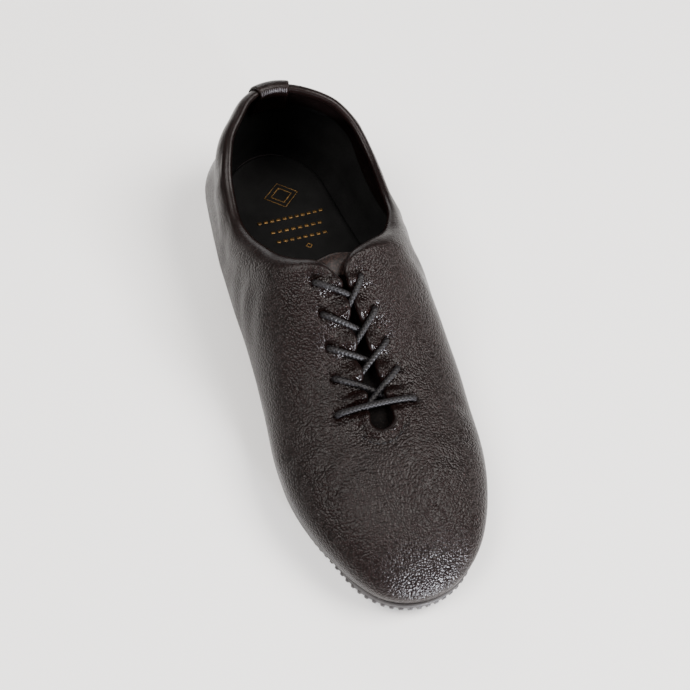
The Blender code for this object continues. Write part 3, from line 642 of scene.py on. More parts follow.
# Soft creases of the leather: side; share and turn of both ends; bow of the middle towards the toe as a
# share of the length; half width and depth in metres, where a negative depth is a ridge
CREASES = (
    (-1, 0.735, 62, 0.765, 24, 0.010, 0.0026, 0.00035),
    (-1, 0.765, 74, 0.800, 30, 0.012, 0.0028, 0.00030),
    (1, 0.745, 66, 0.770, 26, 0.010, 0.0028, 0.00030),
    (1, 0.790, 72, 0.805, 34, 0.008, 0.0030, 0.00025),
    (-1, 0.695, 50, 0.715, 12, 0.006, 0.0030, 0.00035),
    (1, 0.700, 44, 0.715, 14, 0.006, 0.0030, 0.00030),
    (-1, 0.430, 40, 0.500, 10, -0.012, 0.0040, 0.00055),
    (-1, 0.380, 34, 0.430, 6, -0.010, 0.0040, 0.00050),
    (1, 0.430, 44, 0.500, 14, -0.010, 0.0040, 0.00050),
    (1, 0.350, 36, 0.360, 8, -0.006, 0.0034, 0.00040),
    (-1, 0.130, 40, 0.170, 8, 0.008, 0.0040, 0.00045),
    (1, 0.120, 38, 0.160, 8, 0.008, 0.0040, 0.00045),
    (-1, 0.250, 30, 0.300, 4, 0.008, 0.0040, 0.00040),
    (1, 0.240, 30, 0.280, 6, 0.008, 0.0040, 0.00040),
    (1, 0.330, 58, 0.335, 42, 0.0, 0.0011, 0.00022),
    (1, 0.345, 60, 0.350, 43, 0.0, 0.0011, 0.00022),
    (1, 0.361, 62, 0.367, 45, 0.0, 0.0011, 0.00022),
    (1, 0.378, 64, 0.386, 47, 0.0, 0.0011, 0.00020),
    (1, 0.396, 66, 0.405, 50, 0.0, 0.0011, 0.00018),
    (-1, 0.340, 60, 0.350, 46, 0.0, 0.0012, 0.00018),
    (-1, 0.362, 62, 0.372, 48, 0.0, 0.0012, 0.00018),
)


def crease_line(side, share, turn, end_share, end_turn, bow):
    """Points along one crease of the table."""
    part = np.linspace(0, 1, 9)
    shares = share + (end_share - share) * part + bow * 4 * part * (1 - part)
    return last_point(shares, turn + (end_turn - turn) * part, side)


def stitch_arc():
    """Middle of the row of stitches round the closed end of the slit: share and signed reach."""
    angles = np.radians(np.linspace(-STITCH_ANGLE, STITCH_ANGLE, 9))
    reach = STITCH_REACH / sizes().length
    return [(STITCH_SHARE + math.cos(a) * reach, math.sin(a) * STITCH_REACH - 0.0003) for a in angles]


def relief(points, share, side, rim):
    """How far the leather stands proud of the last, from creases, lacing and the slit's rim."""
    out = np.zeros(points.shape[:-1])
    for crease_side, *line, width, depth in CREASES:
        if crease_side != side:
            continue
        gap, along = near_lines(points, crease_line(side, *line), 4 * width)
        taper = np.sin(np.pi * np.clip(along, 0.02, 0.98)) ** 0.7
        # a soft trough with a low ridge on both sides
        trough = np.exp(-((gap / width) ** 2)) - 0.45 * np.exp(-(((gap - 1.9 * width) / width) ** 2))
        out -= depth * trough * taper
    slit = ease((share - 0.470) / 0.020) * ease((0.712 - share) / 0.014)
    puffed = puff(share, side)
    close = np.exp(-((rim / PUFF_REACH) ** 2))
    out += slit * close * (PUFF_HEIGHT * puffed - PRESS_DEPTH * (1 - puffed))
    gathers = np.sin(2 * np.pi * share * sizes().length / GATHER_PITCH + 1.5 * np.sin(rim / 0.0016))
    out += slit * GATHER_HEIGHT * gathers * puffed * np.exp(-(((rim - 0.0035) / 0.0022) ** 2))
    # the folded edge of the slit's closed end stands up, and the leather lies lower in a ring outside it
    closed = ease((share - 0.690) / 0.02) * ease((0.775 - share) / 0.01)
    out += closed * RIM_HEIGHT * np.exp(-(((rim - 0.0006) / 0.0011) ** 2))
    out -= closed * RIM_RING * np.exp(-(((rim - 0.0034) / 0.0012) ** 2))
    for row in range(len(HOLES)):
        at, reach = hole(row, side)
        place = over_ridge(at, side * reach, 0.0)
        gap = np.linalg.norm(points - place, axis=-1)
        for depth, width in (HOLE_CRATER, HOLE_DISH):
            out -= depth * np.exp(-((gap / width) ** 2))
    for share_stitch, reach in stitch_arc():
        gap = np.linalg.norm(points - over_ridge(share_stitch, reach, 0.0), axis=-1)
        out -= STITCH_DIP[0] * np.exp(-((gap / STITCH_DIP[1]) ** 2))
    # fine pleats between the stitches
    offset = points - over_ridge(STITCH_SHARE, 0.0, 0.0)
    spread = np.hypot(offset[..., 0], offset[..., 1])
    around = np.arctan2(offset[..., 0], -offset[..., 1])
    radial = np.exp(-(((spread - 0.0092) / 0.0020) ** 2)) * (np.abs(around) < 1.35)
    out += 0.00016 * radial * np.cos(around * 20.3)
    return out


def uneven(points, size, seed):
    """Gentle unevenness between -1 and 1 at a given size."""
    flat = points.reshape(-1, 3) / size
    values = [noise.noise(Vector((p[0] + seed, p[1], p[2]))) for p in flat]
    return np.array(values).reshape(points.shape[:-1])


def collar_out(below, roll):
    """Distance of the collar's outer face from the wall's middle, at a distance below the fold's foot."""
    below = np.asarray(below, float)
    curve = np.sqrt(np.clip(1 - ((FOLD_SUNK * roll - below) / (FOLD_HEIGHT * roll)) ** 2, 0, 1))
    near = roll * (FOLD_OUTER * curve - FOLD_SET_IN)
    fall = cosine_fall((below - FOLD_SUNK * roll) / FOLD_FALL)
    far = sizes().wall / 2 + (roll - sizes().wall / 2) * fall
    return np.where(below < FOLD_SUNK * roll, near, far)


def fold_profile(part, roll):
    """Fold of the collar: distance off the wall's middle and height over the fold's foot."""
    part = np.asarray(part, float)
    first = math.asin(FOLD_SUNK / FOLD_HEIGHT)
    rise = first + (math.pi / 2 - first) * np.clip(part / OUTER_UNTIL, 0, 1)
    turn = math.pi / 2 * (1 + np.clip((part - OUTER_UNTIL) / 0.30, 0, 1))
    drop = np.clip((part - INNER_UNTIL) / 0.12, 0, 1)
    outer = part <= OUTER_UNTIL
    away = np.where(outer, FOLD_OUTER * np.cos(rise), FOLD_INNER * np.cos(turn)) - FOLD_SET_IN
    over = FOLD_HEIGHT * np.sin(rise) - FOLD_SUNK
    height = np.where(outer, over, FOLD_INNER * np.sin(turn) + FOLD_SET_IN)
    return roll * away, roll * (height - drop * FOLD_SET_IN)


class Sheets:
    """Collects grids of points into one mesh, with a material for each face and a grain for each point."""

    def __init__(self):
        self.points, self.faces, self.slots, self.values = [], [], [], []

    def add(self, grid, slot=0, flip=False, value=None, wrap=False):
        """Adds a grid of points; its slot is one number or one for each face."""
        rows, cols = grid.shape[:2]
        first = len(self.points)
        self.points += list(grid.reshape(-1, 3))
        value = np.ones((rows, cols)) if value is None else value
        self.values += list(value.reshape(-1))
        slot = np.broadcast_to(slot, (rows - 1, cols))
        last = cols if wrap else cols - 1
        for i in range(rows - 1):
            for j in range(last):
                here = first + i * cols
                k = (j + 1) % cols
                loop = (here + j, here + cols + j, here + cols + k, here + k)
                self.faces.append(loop[::-1] if flip else loop)
                self.slots.append(int(slot[i][j]))

    def cap(self, ring, slot=0, value=1.0):
        """Closes a ring of points with a fan."""
        first = len(self.points)
        self.points += list(ring) + [ring.mean(axis=0)]
        self.values += [value] * (len(ring) + 1)
        for j in range(len(ring)):
            self.faces.append((first + j, first + (j + 1) % len(ring), first + len(ring)))
            self.slots.append(slot)

    def build(self, name, materials, recalculate=False):
        """Makes the object, with its doubled points merged and no zero faces."""
        mesh = bpy.data.meshes.new(name)
        mesh.from_pydata([tuple(p) for p in self.points], [], self.faces)
        mesh.polygons.foreach_set("material_index", self.slots)
        grain = mesh.attributes.new("grain", "FLOAT", "POINT")
        grain.data.foreach_set("value", np.array(self.values, dtype=np.float32))
        for material in materials:
            mesh.materials.append(material)
        body = bmesh.new()
        body.from_mesh(mesh)
        bmesh.ops.remove_doubles(body, verts=body.verts, dist=0.000004)
        bmesh.ops.dissolve_degenerate(body, edges=body.edges, dist=0.000002)
        if recalculate:
            bmesh.ops.recalc_face_normals(body, faces=body.faces)
        body.to_mesh(mesh)
        body.free()
        mesh.shade_smooth()
        piece = bpy.data.objects.new(name, mesh)
        bpy.context.scene.collection.objects.link(piece)
        return piece


def wall_places(side, top_share, top_turn, foot):
    """Share and turn of every row of the wall: from the edge to the widest line, then under the foot."""
    count = len(top_share)
    part = np.linspace(0, 1, 160)
    share = top_share[:, None] + (foot - top_share)[:, None] * ease(part)
    line = last_point(share, top_turn[:, None] * (1 - part), side)
    steps = np.linalg.norm(np.diff(line, axis=1), axis=2)
    length = np.concatenate([np.zeros((count, 1)), np.cumsum(steps, axis=1)], axis=1)
    # rows are dense near the edge, where the fold, the holes and the puffs are
    near = np.linspace(0, 1, NEAR_ROWS + 1)
    far = np.linspace(0, 1, FAR_ROWS + 1)[1:]
    index = []
    for down in length:
        reach = min(NEAR_REACH, 0.45 * down[-1])
        stops = np.concatenate([near * reach, reach + far * (down[-1] - reach)])
        index.append(np.interp(stops, down, part))
    index = np.array(index)
    share = top_share[:, None] + (foot - top_share)[:, None] * ease(index)
    turn = top_turn[:, None] * (1 - index)
    lower = -90 * np.linspace(0, 1, LOWER_ROWS + 1)[1:] ** 0.8
    share = np.concatenate([share, np.repeat(foot[:, None], LOWER_ROWS, axis=1)], axis=1)
    turn = np.concatenate([turn, np.repeat(lower[None, :], count, axis=0)], axis=1)
    return share, turn


def folded_band(side, middle, normal, rho, fold, top, bottom):
    """The folded edge, from the outer face over the top to the lining."""
    edge, normal = middle[:, 0], normal[:, 0]
    tangent = side * np.gradient(edge, axis=0)
    tangent /= np.linalg.norm(tangent, axis=1, keepdims=True)
    away = np.cross(tangent, normal)
    down = middle[:, 1] - edge
    # away from the wall, whichever way the edge was walked; its last points turn round the slit's end
    flip = np.sign(np.sum(away[:-3] * down[:-3], axis=1).sum())
    away = -away * flip
    away /= np.linalg.norm(away, axis=1, keepdims=True)
    part = np.linspace(0, 1, BAND_ROWS)
    angle = np.pi * part[None, :]
    folded = fold[:, None]
    slit_across = np.cos(angle) * (top + bottom)[:, None] / 2 + (top - bottom)[:, None] / 2
    slit_forward = np.sin(angle) * rho[:, None]
    away_collar, height_collar = fold_profile(part, sizes().collar_roll)
    # the seam between the fold and the lining strip
    seam = FOLD_SEAM * np.exp(-(((part - 0.90) / 0.035) ** 2))
    across = slit_across + (away_collar + seam - slit_across) * folded
    across[:, 0], across[:, -1] = top, -bottom
    forward = slit_forward + (height_collar - slit_forward) * folded
    band = edge[:, None] + normal[:, None] * across[..., None]
    return band + away[:, None] * forward[..., None]


def upper_side(side, top_share, top_turn, foot, corner):
    """Grids of one side of the upper: outside, folded edge and lining."""
    wall, roll, lip = sizes().wall, sizes().collar_roll, sizes().slit_roll
    # how much each column is the collar's fold, and not the slit's edge
    along_edge = arc_length(last_point(top_share, top_turn, side))
    fold = 1 - ease((along_edge - corner * FOLD_UNTIL) / FOLD_FADE)
    folded = fold[:, None]
    rho = lip + (roll - lip) * fold

    share, turn = wall_places(side, top_share, top_turn, foot)
    normal = last_normal(share, turn, side)
    middle = last_point(share, turn, side) - normal * wall / 2
    open_part = np.s_[: OPEN_COUNT + 1]
    rim = near_lines(middle, middle[open_part, 0][::3], 0.03)[0]
    rim[open_part, 0] = 0.0
    rho_here = np.broadcast_to(rho[:, None], rim.shape)

    waves = UNEVEN_HEIGHT * uneven(middle, UNEVEN_SIZE, 3.0)
    proud = relief(middle, share, side, rim) * (turn > -30) + waves * ease(rim / 0.006)
    proud[:, -1] = 0
    # the fold itself stays smooth
    keep = np.ones(rim.shape)
    keep[open_part] = 1 - folded[open_part] * (1 - ease(rim[open_part] / 0.0012))
    slit_out = wall / 2 + (rho_here - wall / 2) * cosine_fall(rim / SLIT_FADE)
    out = slit_out + (collar_out(rim, roll) - slit_out) * folded + proud * keep
    inward = wall / 2 + (rho_here - wall / 2) * cosine_fall(rim / (1.3 * rho_here))
    # the lining follows the leather where the lacing lifts or presses it
    follow = np.clip(proud, -0.0009, 0.0012) * np.exp(-((rim / 0.009) ** 2))
    lining_step = LINING_STEP * ease((rim - LINING_STRIP) / 0.0006) * folded
    outside = middle + normal * out[..., None]
    inside = middle - normal * (inward - follow - lining_step)[..., None]
    top, bottom = out[open_part, 0], (inward - follow)[open_part, 0]
    edges = [grid[open_part] for grid in (middle, normal, rho, fold)]
    band = folded_band(side, *edges, top, bottom)
    # the grain is stretched smooth over the collar's fold, and rubbed glossy where the lace runs
    smooth_band = 0.25 + 0.75 * ease((rim - 0.0010) / 0.0055)
    by_lace = ease((share - 0.460) / 0.02) * ease((0.760 - share) / 0.03)
    laced = 1.0 + 0.18 * np.exp(-((rim / 0.0090) ** 2)) * by_lace
    grain = laced + (smooth_band - laced) * folded
    return {"outside": outside, "inside": inside, "band": band, "grain": grain, "rim": rim}


def join(one, other, picks):
    """Gives two grids their mean at the places picked."""
    for pick in picks:
        mean = (one[pick] + other[pick]) / 2
        one[pick] = mean
        other[pick] = mean


def share_between(sides):
    """Both sides get the same points where they meet."""
    seams = (np.s_[0], np.s_[-1], np.s_[:, -1], np.s_[OPEN_COUNT:, 0])
    for name, picks in (("outside", seams), ("inside", seams), ("band", (0, OPEN_COUNT))):
        join(sides[1][name], sides[-1][name], picks)
    for side in (1, -1):
        sides[side]["outside"][: OPEN_COUNT + 1, 0] = sides[side]["band"][:, 0]
        sides[side]["inside"][: OPEN_COUNT + 1, 0] = sides[side]["band"][:, -1]


def add_node(tree, kind, inputs=None, **settings):
    """Adds one node with its settings; inputs maps a socket's name or number to a value or a socket."""
    node = tree.nodes.new(kind)
    for name, value in settings.items():
        setattr(node, name, value)
    for key, value in (inputs or {}).items():
        socket = node.inputs[key]
        if isinstance(value, bpy.types.NodeSocket):
            tree.links.new(value, socket)
        else:
            socket.default_value = value
    return node


def new_material(name):
    """A material with only its output and a Principled shader."""
    material = bpy.data.materials.new(name)
    material.use_nodes = True
    return material, material.node_tree, material.node_tree.nodes["Principled BSDF"]


def ramp(tree, value, low, high, dark, light):
    """A colour or value that follows the input from one stop to the other."""
    node = add_node(tree, "ShaderNodeValToRGB", {"Fac": value})
    node.color_ramp.elements[0].position = low
    node.color_ramp.elements[1].position = high
    node.color_ramp.elements[0].color = (*dark, 1)
    node.color_ramp.elements[1].color = (*light, 1)
    return node.outputs["Color"]


def grained_leather(name, light, crease_shade, pebble_depth, gloss, shine=0.15):
    """Drum-dyed full-grain leather with a tumbled pebble: small shiny domes, with painted shade that
    darkens the creases between them.

    The dye is nearly black, so what the eye reads is the wax finish: a broken sparkle on the domes, broad
    patches that are a little duller, and a sheen where the lace has rubbed it; pale specks are painted on
    as glints.
    """
    material, tree, shader = new_material(name)
    place = add_node(tree, "ShaderNodeTexCoord").outputs["Object"]
    # a slow bend every 4 mm keeps the pebbles from lying in rows
    bend = add_node(tree, "ShaderNodeTexNoise", {"Vector": place, "Scale": 260.0, "Detail": 2.0})
    shift = add_node(
        tree, "ShaderNodeVectorMath", {0: bend.outputs["Color"], 1: (0.5, 0.5, 0.5)}, operation="SUBTRACT"
    )
    moved = add_node(
        tree,
        "ShaderNodeVectorMath",
        {0: shift.outputs[0], 1: (0.0005, 0.0005, 0.0005), 2: place},
        operation="MULTIPLY_ADD",
    )
    # one cell is one pebble
    scale = 1.0 / sizes().pebble
    cells = add_node(
        tree,
        "ShaderNodeTexVoronoi",
        {"Vector": moved.outputs[0], "Scale": scale, "Smoothness": 0.35},
        feature="SMOOTH_F1",
    )
    fine = add_node(
        tree,
        "ShaderNodeTexNoise",
        {"Vector": place, "Scale": 1.0 / 0.0006, "Detail": 3.0, "Roughness": 0.6},
    )
    broad = add_node(tree, "ShaderNodeTexNoise", {"Vector": place, "Scale": 1.0 / 0.022, "Detail": 3.0})
    stretch = add_node(tree, "ShaderNodeMapping", {"Vector": place, "Scale": (1.0, 0.35, 1.0)})
    pull = add_node(
        tree, "ShaderNodeTexNoise", {"Vector": stretch.outputs[0], "Scale": 1.0 / 0.0022, "Detail": 2.0}
    )
    grain = add_node(tree, "ShaderNodeAttribute", attribute_name="grain").outputs["Fac"]
    dome = add_node(
        tree,
        "ShaderNodeMath",
        {0: 1.0, 1: cells.outputs["Distance"]},
        operation="SUBTRACT",
        use_clamp=True,
    )
    pebble = add_node(tree, "ShaderNodeMath", {0: dome.outputs[0], 1: grain}, operation="MULTIPLY")
    mixed = add_node(
        tree,
        "ShaderNodeMath",
        {0: fine.outputs["Fac"], 1: 0.30, 2: pebble.outputs[0]},
        operation="MULTIPLY_ADD",
    )
    height = add_node(
        tree,
        "ShaderNodeMath",
        {0: pull.outputs["Fac"], 1: 0.10, 2: mixed.outputs[0]},
        operation="MULTIPLY_ADD",
    )
    bump = add_node(
        tree,
        "ShaderNodeBump",
        {"Height": height.outputs[0], "Strength": 1.0, "Distance": pebble_depth},
    )
    # painted shade: the colour darkens from the pebble tops into the creases between them, where the bump
    # casts no shade of its own
    colour = ramp(tree, dome.outputs[0], 0.35, 0.95, crease_shade, light)
    # painted glints: one pale speck every pebble and a half, standing in for highlights on the grain
    glint_cells = add_node(tree, "ShaderNodeTexVoronoi", {"Vector": place, "Scale": scale / 1.45})
    speck = add_node(
        tree,
        "ShaderNodeMapRange",
        {
            "Value": glint_cells.outputs["Distance"],
            "From Min": 0.08,
            "From Max": 0.20,
            "To Min": 0.45,
            "To Max": 0.0,
        },
    )
    glint_mask = add_node(tree, "ShaderNodeMath", {0: speck.outputs[0], 1: grain}, operation="MULTIPLY")
    tint = ramp(tree, broad.outputs["Fac"], 0.35, 0.65, (0.78, 0.76, 0.76), (1.0, 1.0, 1.0))
    # sockets 6 and 7 of this node are its two colours, and its third output is their mix
    toned = add_node(
        tree, "ShaderNodeMix", {0: 1.0, 6: colour, 7: tint}, data_type="RGBA", blend_type="MULTIPLY"
    )
    glinted = add_node(
        # pale colour of the painted glints, stronger where the grain attribute is higher
        tree,
        "ShaderNodeMix",
        {0: glint_mask.outputs[0], 6: toned.outputs[2], 7: (*linear("#4a4443"), 1)},
        data_type="RGBA",
    )
    tree.links.new(glinted.outputs[2], shader.inputs["Base Color"])
    rough = add_node(
        tree,
        "ShaderNodeMapRange",
        {
            "Value": broad.outputs["Fac"],
            "From Min": 0.3,
            "From Max": 0.7,
            "To Min": gloss - 0.09,
            "To Max": gloss + 0.02,
        },
    )
    rubbed = add_node(tree, "ShaderNodeMath", {0: grain, 1: 1.0}, operation="SUBTRACT", use_clamp=True)
    polished = add_node(
        tree,
        "ShaderNodeMath",
        {0: rubbed.outputs[0], 1: -0.9, 2: rough.outputs[0]},
        operation="MULTIPLY_ADD",
    )
    tree.links.new(polished.outputs[0], shader.inputs["Roughness"])
    tree.links.new(bump.outputs[0], shader.inputs["Normal"])
    shader.inputs["Specular IOR Level"].default_value = shine
    return material


def brushed_cloth(name, colour, thread, depth, rough):
    """Brushed nylon: short fibres keep it dull; how dark it is comes from the colour it is given."""
    material, tree, shader = new_material(name)
    place = add_node(tree, "ShaderNodeTexCoord").outputs["Object"]
    fibre = add_node(
        tree,
        "ShaderNodeTexNoise",
        {"Vector": place, "Scale": 1.0 / thread, "Detail": 4.0, "Roughness": 0.7},
    )
    # patches about 11 mm across where the nap lies another way
    patch = add_node(tree, "ShaderNodeTexNoise", {"Vector": place, "Scale": 90.0, "Detail": 2.0})
    mixed = add_node(
        tree, "ShaderNodeMath", {0: fibre.outputs["Fac"], 1: patch.outputs["Fac"]}, operation="MULTIPLY"
    )
    low = tuple(v * 0.5 for v in colour)
    high = tuple(min(1.0, v * 1.9 + 0.002) for v in colour)
    tree.links.new(ramp(tree, mixed.outputs[0], 0.15, 0.42, low, high), shader.inputs["Base Color"])
    bump = add_node(
        tree, "ShaderNodeBump", {"Height": fibre.outputs["Fac"], "Strength": 0.8, "Distance": depth}
    )
    tree.links.new(bump.outputs[0], shader.inputs["Normal"])
    shader.inputs["Roughness"].default_value = rough
    shader.inputs["Specular IOR Level"].default_value = 0.15
    return material


def moulded_rubber(name, colour, ribs):
    """Moulded carbon-filled rubber: matt, faintly speckled and scuffed, with fine ribs to walk on."""
    material, tree, shader = new_material(name)
    place = add_node(tree, "ShaderNodeTexCoord").outputs["Object"]
    speckle = add_node(
        tree,
        "ShaderNodeTexNoise",
        {"Vector": place, "Scale": 1.0 / 0.0007, "Detail": 3.0, "Roughness": 0.6},
    )
    # dull scuffs about 7 mm across
    scuff = add_node(tree, "ShaderNodeTexNoise", {"Vector": place, "Scale": 140.0, "Detail": 4.0})
    low = tuple(v * 0.65 for v in colour)
    high = tuple(v * 1.5 for v in colour)
    tree.links.new(ramp(tree, speckle.outputs["Fac"], 0.35, 0.68, low, high), shader.inputs["Base Color"])
    height = speckle.outputs["Fac"]
    if ribs:
        # ribs across the foot; the node's wave repeats 20 times in 2 pi units
        wave = add_node(
            tree,
            "ShaderNodeTexWave",
            {"Vector": place, "Scale": 2 * math.pi / (20 * RIB_PITCH), "Distortion": 0.0},
            bands_direction="Y",
            wave_profile="SIN",
        )
        total = add_node(
            tree, "ShaderNodeMath", {0: wave.outputs["Fac"], 1: 3.0, 2: height}, operation="MULTIPLY_ADD"
        )
        height = total.outputs[0]
    bump = add_node(tree, "ShaderNodeBump", {"Height": height, "Strength": 0.7, "Distance": 0.00012})
    tree.links.new(bump.outputs[0], shader.inputs["Normal"])
    rough = add_node(
        tree,
        "ShaderNodeMapRange",
        {
            "Value": scuff.outputs["Fac"],
            "From Min": 0.3,
            "From Max": 0.7,
            "To Min": 0.42,
            "To Max": 0.60,
        },
    )
    tree.links.new(rough.outputs[0], shader.inputs["Roughness"])
    return material


def braided_cord(name, colour, rough=0.50):
    """Spun polyester, lightly waxed: painted shade darkens it between the strands and a painted highlight
    lightens the crest of each.
    """
    material, tree, shader = new_material(name)
    place = add_node(tree, "ShaderNodeTexCoord").outputs["Object"]
    fibre = add_node(
        tree,
        "ShaderNodeTexNoise",
        {"Vector": place, "Scale": 1.0 / 0.00025, "Detail": 2.0, "Roughness": 0.6},
    )
    strand = add_node(tree, "ShaderNodeAttribute", attribute_name="grain").outputs["Fac"]
    # painted shade in the gaps between strands and painted highlight on their crests, from each point's
    # strand height
    low = tuple(v * 0.35 for v in colour)
    high = tuple(v * 3.2 for v in colour)
    tree.links.new(ramp(tree, strand, 0.35, 1.0, low, high), shader.inputs["Base Color"])
    bump = add_node(
        tree, "ShaderNodeBump", {"Height": fibre.outputs["Fac"], "Strength": 0.6, "Distance": 0.00006}
    )
    tree.links.new(bump.outputs[0], shader.inputs["Normal"])
    shader.inputs["Roughness"].default_value = rough
    shader.inputs["Specular IOR Level"].default_value = 0.22
    return material


def stamped_foil(name, colour):
    """Hot-stamped gold foil on cloth: a thin metal film, worn dull and dark on the tops of the weave."""
    material, tree, shader = new_material(name)
    place = add_node(tree, "ShaderNodeTexCoord").outputs["Object"]
    wear = add_node(
        tree,
        "ShaderNodeTexNoise",
        {"Vector": place, "Scale": 1.0 / 0.0009, "Detail": 3.0, "Roughness": 0.7},
    )
    low = tuple(v * 0.25 for v in colour)
    wear_and_shade = ramp(tree, wear.outputs["Fac"], 0.38, 0.60, low, colour)
    tree.links.new(wear_and_shade, shader.inputs["Base Color"])
    bump = add_node(
        tree, "ShaderNodeBump", {"Height": wear.outputs["Fac"], "Strength": 0.5, "Distance": 0.00005}
    )
    tree.links.new(bump.outputs[0], shader.inputs["Normal"])
    shader.inputs["Metallic"].default_value = 0.7
    shader.inputs["Roughness"].default_value = 0.45
    return material


def darker(colour, share):
    """The colour at a share of its brightness."""
    return tuple(value * share for value in colour)


def material(name):
    """One of the shoe's materials, made when it is first asked for."""
    if name in bpy.data.materials:
        return bpy.data.materials[name]
    c = colours()
    grain, crease_shade, tongue = tuple(c.leather), tuple(c.leather_crease_shade), tuple(c.tongue)
    lining, lace, rubber = tuple(c.lining), tuple(c.lace), tuple(c.rubber)
    makers = {
        # tumbled upper leather: the deepest pebble and the most gloss
        "full_grain_leather": (grained_leather, grain, crease_shade, 0.00032, 0.35),
        # skived lining leather: darker, with hardly any grain, so it shows as one soft sheen
        "smooth_lining_leather": (grained_leather, darker(grain, 0.45), darker(crease_shade, 0.5), 0.00008, 0.42),
        # undyed, unfinished skin of the tongue: browner and duller than the upper
        "thin_tongue_skin": (grained_leather, tongue, crease_shade, 0.00008, 0.48),
        # the same skin under the slit, flattened and with little shine; its colour is darkened as painted
        # shade, so the slit reads as a dark gap
        "tongue_skin_painted_shade": (
            grained_leather,
            darker(tongue, 0.10),
            darker(crease_shade, 0.2),
            0.00006,
            0.60,
            0.04,
        ),
        # napped lining: no highlight at all; its near-black colour is the cloth's own black, pushed darker
        # as painted shade inside the shoe
        "brushed_lining_cloth": (brushed_cloth, lining, 0.0006, 0.00010, 0.95),
        # the same cloth, pressed flat on the board, with the same painted shade in its colour
        "sock_cloth": (brushed_cloth, lining, 0.0004, 0.00006, 0.85),
        "moulded_rubber": (moulded_rubber, rubber, False),
        # the face that is walked on: greyed with ribs
        "ribbed_rubber_tread": (moulded_rubber, darker(rubber, 0.8), True),
        "braided_polyester_cord": (braided_cord, lace),
        "polyester_thread": (braided_cord, darker(lace, 0.8)),
        # heavier thread, paler than the leather it holds: the pale colour is painted highlight, so the
        # stitches on the tab's bend read as glints
        "pale_glint_thread": (braided_cord, linear("#343133"), 0.30),
        "stamped_gold_foil": (stamped_foil, tuple(c.foil)),
    }
    maker, *values = makers[name]
    return maker(name, *values)


def place_piece(piece, slot, *nodes):
    """Rides the piece on the shoe and hides the frame's nodes it stands for; the slot is not used."""
    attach(piece, "root")
    if nodes:
        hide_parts(*nodes)


class SHOE_OT_upper(bpy.types.Operator):
    """Leather upper with its folded collar, slit, lace holes and lining"""

    bl_idname = "shoe.upper"
    bl_label = "Upper"

    def execute(self, context):
        columns = {side: edge_columns(side) for side in (1, -1)}
        foot = foot_shares([columns[side][0] for side in (1, -1)])
        sides = {side: upper_side(side, *columns[side][:2], foot, columns[side][2]) for side in (1, -1)}
        share_between(sides)
        sheets = Sheets()
        for side, grids in sides.items():
            flip = side > 0
            sheets.add(grids["outside"], 0, flip, grids["grain"])
            lining = np.where(grids["rim"][:-1] < LINING_STRIP, 1, 2)
            sheets.add(grids["inside"], lining, not flip, np.full(grids["rim"].shape, 0.3))
            band = grids["band"]
            slots = np.where(np.arange(BAND_ROWS) < FOLD_LEATHER * BAND_ROWS, 0, 1)
            sheets.add(band, slots, not flip, np.full(band.shape[:2], 0.15))
        names = ("full_grain_leather", "smooth_lining_leather", "brushed_lining_cloth")
        upper = sheets.build("leather_upper", [material(name) for name in names])
        place_piece(upper, "leather", "upper")
        return {"FINISHED"}


def pad_outline(heel):
    """Points round a pad at its top edge, going round once."""
    if heel:
        first, final, bulge = 0.0, HEELPAD_TO, HEELPAD_BULGE
    else:
        first, final, bulge = 1.0, FOREPAD_FROM, -FOREPAD_BULGE
    angle = np.linspace(0, np.pi / 2, 400)
    share = first + (final - first) * (1 - np.cos(angle))
    turns = np.linspace(PAD_TURN, -90, 60)[1:]
    part = (turns + 90) / (PAD_TURN + 90)
    end = final + bulge / sizes().length * (1 - part**2)
    halves = []
    for side in (1, -1):
        along = off_last(share, PAD_TURN, side, np.full(share.shape, GAP))
        halves.append(np.concatenate([along, off_last(end, turns, side, np.full(turns.shape, GAP))]))
    return np.concatenate([halves[0], halves[1][::-1][1:-1]])


def resample(loop, spacing):
    """Evenly spaced points round a closed loop."""
    closed = np.concatenate([loop, loop[:1]])
    length = arc_length(closed)
    count = int(length[-1] / spacing)
    at = np.linspace(0, length[-1], count, endpoint=False)
    return np.stack([np.interp(at, length, closed[:, axis]) for axis in range(3)], -1), at, length[-1]


def round_off(loop, times):
    """Softens the corners of a closed loop."""
    for _ in range(times):
        loop = (np.roll(loop, 1, axis=0) + 2 * loop + np.roll(loop, -1, axis=0)) / 4
    return loop


def share_along(points):
    """Share of the length of points in the shoe's own frame."""
    return (sizes().length / 2 - (points[:, 1] - STAND[1])) / sizes().length


